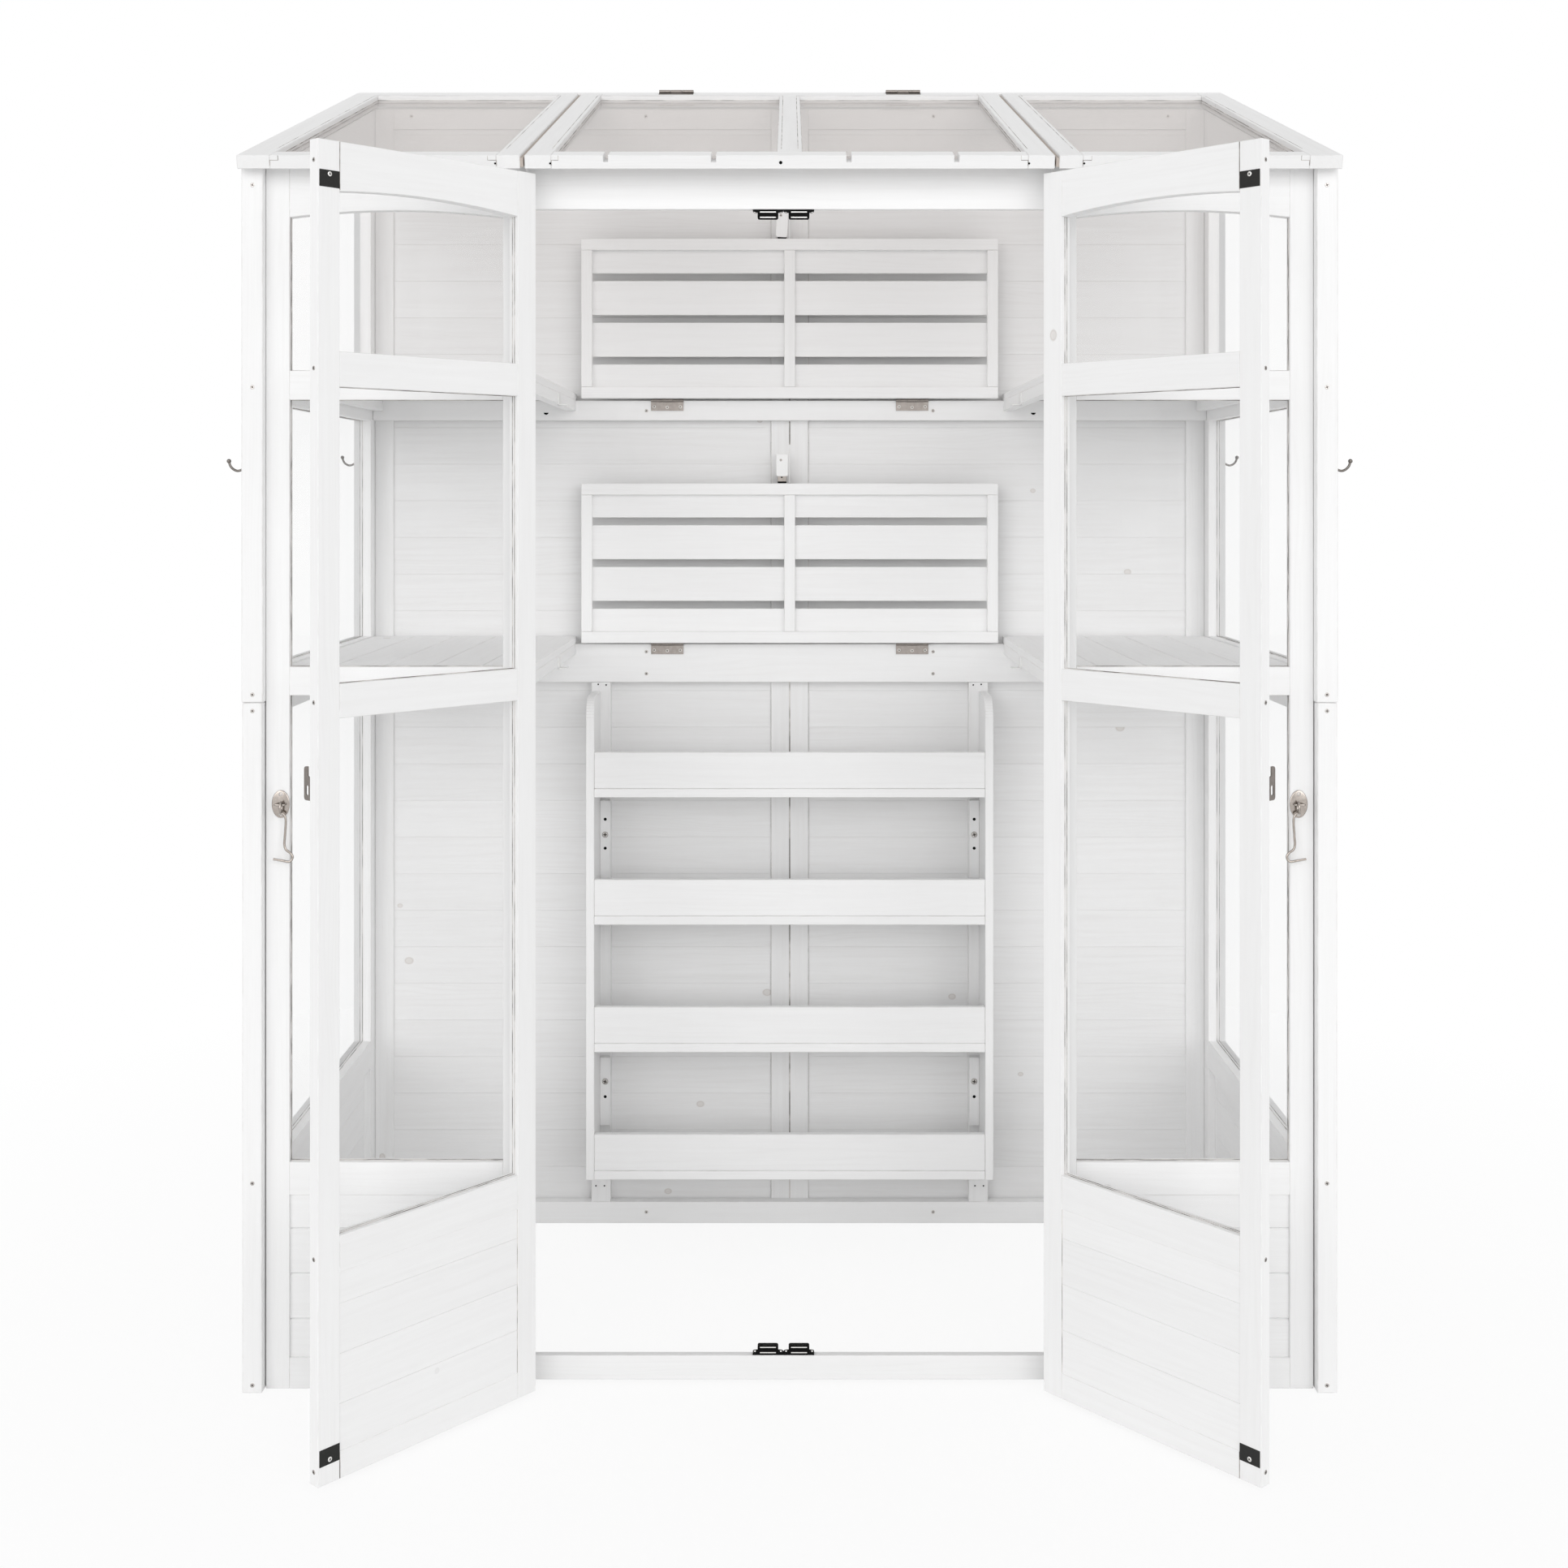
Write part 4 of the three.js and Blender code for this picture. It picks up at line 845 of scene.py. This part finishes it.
for word, side in SIDES.items():
    panel = Piece(f"roof_panel_{word}_boards", FRAME_FIR, "house", TIPPED, shade=ROOF_PAINTED_SHADE)
    stiles = (ROOF_SIDE_STILE, ROOF_OUTER_STILE)[::side]
    inner = roof_frame(panel, across(side, ROOF_GAP[1], HALF_WIDTH), stiles)
    panel.box(inner, (0, ROOF_FRONT_RAIL), (0, ROOF_BOARD), "x", edge=0.8)
    panel.make(f"roof_panel_{word}")
    slit_shade(f"roof_slits_{word}", "house", TIPPED, ROOF_SHEET, ((inner, ROOF_LIGHT),), "xzy")
    rebate_shade_lines(f"roof_rebate_{word}", "house", (inner,))

# The lifting panel, with drain notches in its front rail and a bar between its lights
centre = Piece("roof_panel_center_boards", FRAME_FIR, "roof_vent", TIPPED, shade=ROOF_PAINTED_SHADE)
inner = roof_frame(centre, around(0, VENT_HALF), (ROOF_INNER_STILE, ROOF_INNER_STILE))
outline = [(inner[0], 0), (inner[1], 0), (inner[1], ROOF_BOARD)]
for drain in ROOF_DRAINS:
    low, high = around(drain, 3.5)
    level = ROOF_BOARD - 10
    outline += [(high, ROOF_BOARD), (high, level), (low, level), (low, ROOF_BOARD)]
outline.append((inner[0], ROOF_BOARD))
centre.prism(outline, "y", (0, ROOF_FRONT_RAIL), "x", edge=0.6)
centre.box(around(0, ROOF_BAR_HALF), ROOF_LIGHT, (0, ROOF_BOARD), "y", edge=1)
centre.make("roof_panel_center")
halves = ((inner[0], -ROOF_BAR_HALF), (ROOF_BAR_HALF, inner[1]))
slit_shade("roof_slits_center", "roof_vent", TIPPED, ROOF_SHEET,
      [(half, ROOF_LIGHT) for half in halves], "xzy")
rebate_shade_lines("roof_rebate_center", "roof_vent", halves)

lone_board("roof_rear_rail", around(0, HALF_WIDTH), (822.3, 840.3), (-25.5, ROOF_BOARD), "x", 1,
           matrix=TIPPED)

# Felt strips in the gaps beside the centre panel
felt = Piece("roof_gap_strips", FELT, "house", TIPPED)
for side in BOTH:
    felt.box(across(side, ROOF_GAP[0], ROOF_GAP[1] + 0.2), (0.9, 821), (2.5, 15.5), "y", edge=0.4)
felt.make()

# Lapped joints on the front edge of the roof, drawn as painted shade: each from its seam to its far
# end, with a small hole painted as a black disc
LAPS = {"side": ("house", ((416, 428), (737, 725))), "center": ("roof_vent", ((338, 328),))}
for name, (body, laps) in LAPS.items():
    marks = Piece(f"roof_front_joints_{name}", GAP, body, TIPPED)
    skin = (-0.15, 0.4)
    for side in BOTH:
        for seam, far in laps:
            marks.box(across(side, seam, far), skin, (12, 12.7), edge=0)
            marks.box(around(side * seam, 0.35), skin, (5, 12.3), edge=0)
            marks.box(around(side * far, 0.35), skin, (12.3, ROOF_BOARD - 0.6), edge=0)
    marks.make()
    holes = Piece(f"roof_front_holes_{name}", BLACK_PLASTIC, body, TIPPED)
    for side in BOTH:
        holes.plug((side * (laps[0][0] + 1.5), 0, 7.8), 1.5)
    holes.make()

# Roof hinges: the middle knuckle and a leaf lift with the centre panel
lifting = Piece("roof_hinge_leaves", ZINC, "roof_vent", TIPPED)
fixed = Piece("roof_hinge_halves", ZINC, "house", TIPPED)
y, z = ROOF_PIN
leaf, neck = (ROOF_BOARD, ROOF_BOARD + 1.2), (ROOF_BOARD, z - 1)
for side in BOTH:
    x = side * 205
    lifting.box(around(x, 31), (y - 18.3, y - 3.3), leaf, edge=0.2)
    lifting.box(around(x, 10.3), (y - 4, y - 0.2), neck, edge=0.2)
    knuckle(lifting, around(0, 10.3), 3, (x, y, z), (1, 0, 0))
    fixed.box(around(x, 31), (y + 3.3, 840.2), leaf, edge=0.2)
    for end in (-1, 1):
        low, high = across(end, 10.7, 31)
        fixed.box((x + low, x + high), (y + 0.2, y + 4), neck, edge=0.2)
        knuckle(fixed, (low, high), 3, (x, y, z), (1, 0, 0))
lifting.make(smoothed=True)
fixed.make(smoothed=True)

# Hinge rails and folding shelves
for level, rail in HINGE_RAILS.items():
    lone_board(f"hinge_rail_{level}", around(0, BACK_HALF), (RAIL_FRONT, RAIL_BACK), rail, "x")
    body, bottom = f"{level}_folding_shelf", rail[1] + SHELF_CLEARANCE
    shelf = Piece(f"folding_shelf_{level}_boards", FRAME_FIR, body)
    for number in range(4):
        low = bottom + number * SHELF_STEP
        shelf.box(around(0, SHELF_HALF), SHELF_BOARDS, (low, low + SHELF_BOARD_WIDTH), "x")
    low, high = bottom + SHELF_BATTEN, bottom + SHELF_HEIGHT - SHELF_BATTEN
    for start in (bottom, high):
        shelf.box(around(0, SHELF_HALF), SHELF_BATTENS, (start, start + SHELF_BATTEN), "x")
    for spot in (-356.2, 0, 356.2):
        shelf.box(around(spot, 9.5), SHELF_BATTENS, (low + 0.2, high - 0.2))
    shelf.make(f"folding_shelf_{level}")
    leaves = Piece(f"shelf_hinge_leaves_{level}", ZINC, body)
    pin = SHELF_BOARDS[1]
    for side in BOTH:
        x = side * SHELF_HINGE
        leaves.box(around(x, 9.5), (663.6, pin), (rail[1], low), edge=0.2)
        knuckle(leaves, around(0, 9.5), 2.6, (x, pin, rail[1]), (1, 0, 0))
    leaves.make(smoothed=True)
    plate_screws = Piece(f"shelf_hinge_screws_{level}", SCREW_STEEL)
    for side in BOTH:
        for spot, drop in ((-23, 11), (0, 12), (23, 11)):
            plate_screws.screw((side * SHELF_HINGE + spot, 666.2, rail[1] - drop), 2.9, 0.4)
    plate_screws.make()

# Side shelves on their bearers, with a steel tab under each end of the lowered folding shelf
tabs = Piece("shelf_tabs", WHITE_STEEL)
for level, rail in HINGE_RAILS.items():
    for word, side in SIDES.items():
        shelf = Piece(f"side_shelf_{word}_{level}_boards", FRAME_FIR)
        near, far = SIDE_SHELF
        low, front = rail[1] + 0.3, WALL_DEPTH[0]
        for number in range(5):
            start = near + number * (SIDE_BOARD + 1)
            board = across(side, start, start + SIDE_BOARD)
            shelf.box(board, (front, RAIL_BACK), (low, low + 12), "y")
        bearer = (low - 18.5, low + 0.2)
        for span in ((near, near + BEARER), (far - BEARER, far)):
            shelf.box(across(side, *span), (front + 18.2, BEFORE_RAIL), bearer, "y")
        shelf.box(across(side, near, far), (front, front + BEARER), bearer, "x")
        shelf.make(f"side_shelf_{word}_{level}")
        seat = rail[1] - 19.3
        tabs.box(across(side, 375.5, near), (392, 422), (seat - 2, seat + 17), edge=0.3)
        tabs.box(across(side, 362, near - 0.1), (392, 422), (seat - 2, seat), edge=0.3)
tabs.make()

# Plant rack: two sides with a rounded front corner, four trays, and battens that hang on the studs
# The rack's colour is darkened to 0.97 as painted shade
rack = Piece("plant_rack_boards", FRAME_FIR, shade=0.97)
y, z = RACK_FRONT + RACK_CORNER, RACK_TOP - RACK_CORNER
outline = [(RACK_FRONT, 115), (BEFORE_RAIL, 115), (BEFORE_RAIL, RACK_TOP)]
outline += [(y + RACK_CORNER * a, z + RACK_CORNER * b) for a, b in circle(40)[10:21]]
for side in BOTH:
    rack.prism(outline, "x", across(side, 334, 348), "z")
for number in range(4):
    top = 131 + RACK_STEP * number
    rack.box(around(0, RACK_HALF), (552.5, BEFORE_RAIL), (top - 15, top), "x", edge=0.9)
    rack.box(around(0, RACK_HALF), (RACK_FRONT, 566), (top + 0.1, top + 62), "x", edge=0.9)
for side in BOTH:
    for up in ((611, 748), (176, 296)):
        rack.box(across(side, RACK_HALF - 18, RACK_HALF), (655.4, BEFORE_RAIL), up)
rack.make("plant_rack")

# Cabin hooks: an oval plate with a staple, and the bent hook whose eye hangs on the staple's bar
def eased(corners, ease, steps=5):
    """Corners of a wire, each eased by a short arc."""
    corners = [Vector(corner) for corner in corners]
    path = [corners[0]]
    for before, corner, after in zip(corners, corners[1:], corners[2:]):
        first = corner + (before - corner).normalized() * ease
        last = corner + (after - corner).normalized() * ease
        for share in [step / steps for step in range(steps + 1)]:
            rest = 1 - share
            path.append(first * rest ** 2 + corner * 2 * share * rest + last * share ** 2)
    return path + [corners[-1]]


HOOK_X, HOOK_BAR, HOOK_HEIGHT = 731, 5.2, 840
HOOK_BENDS = ((0.6, -11.2), (5.4, -12.6), (8.9, -18), (8.2, -45), (7.6, -57), (9.6, -63.6),
              (16.5, -69.2), (19.2, -74.6), (15.4, -80.8), (4, -79.6), (-8.4, -77.4))
for word, side in SIDES.items():
    x = side * HOOK_X
    plate = Piece(f"hook_plate_{word}_pressed", NICKEL)
    plate.loft([[(x + 12.8 * share * a, y, HOOK_HEIGHT + 19.8 * share * b) for a, b in circle(48)]
                for share, y in ((1, 14.7), (1, 13.8), (0.97, 13.4), (0.9, 13.2))])
    staple = [(x + end, y, HOOK_HEIGHT)
              for end, y in ((-7, 13.9), (-7, HOOK_BAR), (7, HOOK_BAR), (7, 13.9))]
    plate.wire(eased(staple, 2.5), 1.5, steps=1)
    plate.make(f"hook_plate_{word}", smoothed=True)
    screws = Piece(f"hook_plate_screws_{word}", SCREW_STEEL)
    for rise in (-14.3, 14.5):
        screws.screw((x, 13.3, HOOK_HEIGHT + rise), 2.9, 0.8)
    screws.make(slot="nickel")

    hook = Piece(f"cabin_hook_{word}_bent", NICKEL, f"{word}_cabin_hook")
    eye = [(x - side * 2.5, HOOK_BAR + 5.4 * sin(a), HOOK_HEIGHT - 3.5 - 7 * cos(a))
           for a in (radians(11 + n * (338 / 36)) for n in range(37))]
    hook.wire(eye, 1.7, steps=1)
    hook.wire([(x - side * out, HOOK_BAR, HOOK_HEIGHT + rise) for out, rise in HOOK_BENDS], 1.7)
    hook.make(f"cabin_hook_{word}", smoothed=True)

# Tool hooks with a ball end
TOOL_BENDS = ((0, 3.2), (1.2, 2.6), (5, 0.8), (9.5, 0), (15, 2.2), (19.5, 7), (21.6, 14))
for word, side in SIDES.items():
    for end, face, y, z in (("front", HALF_WIDTH, 16, 1318.6), ("rear", WALL[1], 661, 1337.3)):
        hook = Piece(f"tool_hook_{word}_{end}_bent", DARK_NICKEL)
        hook.wire([(side * (face + 0.3 + out), y, z + rise) for out, rise in TOOL_BENDS], 1.8, 16)
        ball = [(3.2 * sin(a), max(3.2 * cos(a), 0.2))
                for a in (radians(-88 + 11 * n) for n in range(17))]
        hook.turned(ball, (side * (face + 21.9), y, z + 14), (side * 0.3, 0, 1), 24)
        hook.make(f"tool_hook_{word}_{end}", smoothed=True)

# Steel poles and ear screws of the magnetic catches
poles = Piece("catch_poles", POLE_STEEL)
ear_screws = Piece("catch_screws", POLE_STEEL)
for base, up in ((LINTEL_BOTTOM - 0.3, -1), (THRESHOLD[1] + 0.3, 1)):
    for x in (-31.5, 13.5):
        for rise in (3.6, 11.2):
            poles.box(around(x, 11.7), (32.9, 38), around(base + up * rise, 0.85), "x", edge=0.2)
        for ear in (-18.5, 18.5):
            ear_screws.screw((x + ear, 39.3, base + up * 2.8), 2.2, 1.5, (0, 0, up))
poles.make()
ear_screws.make()

# Screws, plugs, and black discs of painted shade in the holes of the rack's battens, on both sides:
# X, Y, heights, radius and, where it isn't 0.5, rise
SCREWS = ((768, 0, (1727, 1438, 998.4, 975.2, 300, 11.3), 3.2), (671, BACK[0], (1957,), 3.2),
          (255, BACK[0], (1957,), 3.2), (253, RAIL_FRONT, (1434, 1008.7, 970, 19.8), 3.2),
          (324.5, 655.4, (688, 254), 5.4, 2.2))
PLUGS = ((338, RAIL_FRONT, (951,), 1.4), (324, RAIL_FRONT, (950,), 1.4),
         (342, RAIL_FRONT, (66,), 1.4), (327, RAIL_FRONT, (66,), 1.4),
         (32.6, 687, (1378, 1310), 0.9), (324.5, 655.4, (715, 664, 227), 2.7))
screws = Piece("frame_screws", SCREW_STEEL)
plugs = Piece("black_plugs", BLACK_PLASTIC)
for side in BOTH:
    for put, table in ((screws.screw, SCREWS), (plugs.plug, PLUGS)):
        for x, y, heights, *size in table:
            for z in heights:
                put((side * x, y, z), *size)
    half_moon = [(side * 430 + 4.2 * a, 1430.5 + 3.6 * b) for a, b in (circle(24) * 2)[12:25]]
    plugs.prism(half_moon, "y", (RAIL_FRONT - 0.15, RAIL_FRONT + 1), edge=0)
screws.make()
plugs.make()
for word, side in SIDES.items():
    edge_screws = Piece(f"door_edge_screws_{word}", SCREW_STEEL, f"{word}_door", opened(side))
    for z in (1716, 1447, 1015.5, 297, 23):
        edge_screws.screw((side * DOOR_EDGES[0], 22.5, z), 3.0, facing=(-side, 0, 0))
    for z in (896, 912):
        edge_screws.screw((side * 15, 11.7, z), 2.6, 0.8)
    edge_screws.make()
vent_plug = Piece("roof_front_plug", BLACK_PLASTIC, "roof_vent", TIPPED)
vent_plug.plug((-12.7, 0, 9), 2.4)
vent_plug.make()

# Sheets, fixed hinge halves, hasps and catches stay as packed
for name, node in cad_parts.items():
    if "glazing" in name:
        look = ROOF_CLEAR if "roof" in name else CLEAR
    elif name.startswith(("door_hinge", "shelf_hinge", "hasp")):
        look = ZINC
    elif name.startswith("catch_"):
        look = BLACK_PLASTIC
    else:
        continue
    node.data.materials.clear()
    node.data.materials.append(look)

# Studio: a pale floor that fades into a white surround, and two soft lamps in front
def seen_ray(tree):
    """1 for what the camera sees, also in metal and through clear sheets."""
    rays = [add(tree, "LightPath", output=f"Is {kind} Ray")
            for kind in ("Camera", "Glossy", "Transmission")]
    either = add(tree, "Math MAXIMUM", rays[:2])
    return add(tree, "Math MAXIMUM", (either, rays[2]))


def surround(light):
    """A white surround that lights the object at a lower strength than it is seen at."""
    world = bpy.data.worlds.new("studio")
    bpy.context.scene.world = world
    world.use_nodes = True
    tree = world.node_tree
    background = tree.nodes["Background"]
    feed(background, "Color", (1, 1, 1, 1))
    strength = add(tree, "MapRange", (seen_ray(tree), 0.0, 1.0, light, 1.0))
    feed(background, "Strength", strength)


def floor():
    material, tree, shader = begin("pale studio floor", "#fbfbfb", 0.9)
    feed(shader, "Specular IOR Level", 0)
    place = add(tree, "TexCoord", output="Object")
    distance = add(tree, "VectorMath LENGTH", (place,), "Value")
    fade = add(tree, "MapRange", (distance, 0.7, 2.2, 0.87, 1.0))
    share = add(tree, "Math MULTIPLY", (fade, seen_ray(tree)))
    white = add(tree, "Emission", {"Color": (1, 1, 1, 1), "Strength": 1.0})
    mixed = add(tree, "MixShader", (share, shader.outputs[0], white))
    feed(tree.nodes["Material Output"], "Surface", mixed)
    mesh = bpy.data.meshes.new("studio_floor")
    corners = ((-30, -30), (30, -30), (30, 30), (-30, 30))
    mesh.from_pydata([(x, y, -0.0006) for x, y in corners], [], [(0, 1, 2, 3)])
    mesh.materials.append(material)
    made = stand("studio_floor", mesh)


def lamp(name, azimuth, elevation, width, strength):
    """A wide, distant lamp, all in degrees; azimuth 0 is behind the camera, width is its spread."""
    data = bpy.data.lights.new(name, "SUN")
    data.angle = radians(width)
    data.energy = strength
    turned = (radians(90 - elevation), 0, radians(azimuth))
    stand(name, data).rotation_euler = turned


surround(0.66)
floor()
lamp("soft_left", -28, 12, 45, 0.78)
lamp("soft_right", 28, 12, 45, 0.78)

# Camera, fitted to the photo; its lengths on the picture are in the photo's pixels
PHOTO_WIDTH = 1932
SENSOR = 36
EYE_DISTANCE, EYE_HEIGHT = 2842, 1278
view = bpy.data.cameras.new("camera")
view.sensor_width = SENSOR
view.lens = SENSOR * 2450 / PHOTO_WIDTH
view.shift_x = -7 / PHOTO_WIDTH
view.shift_y = -351 / PHOTO_WIDTH
view.clip_end = 100
camera = stand("camera", view)
camera.location = (0, (-EYE_DISTANCE - CENTRING) * METRE, EYE_HEIGHT * METRE)
camera.rotation_euler = (pi / 2, 0, 0)
bpy.context.scene.camera = camera
bpy.context.scene.view_settings.view_transform = "Standard"
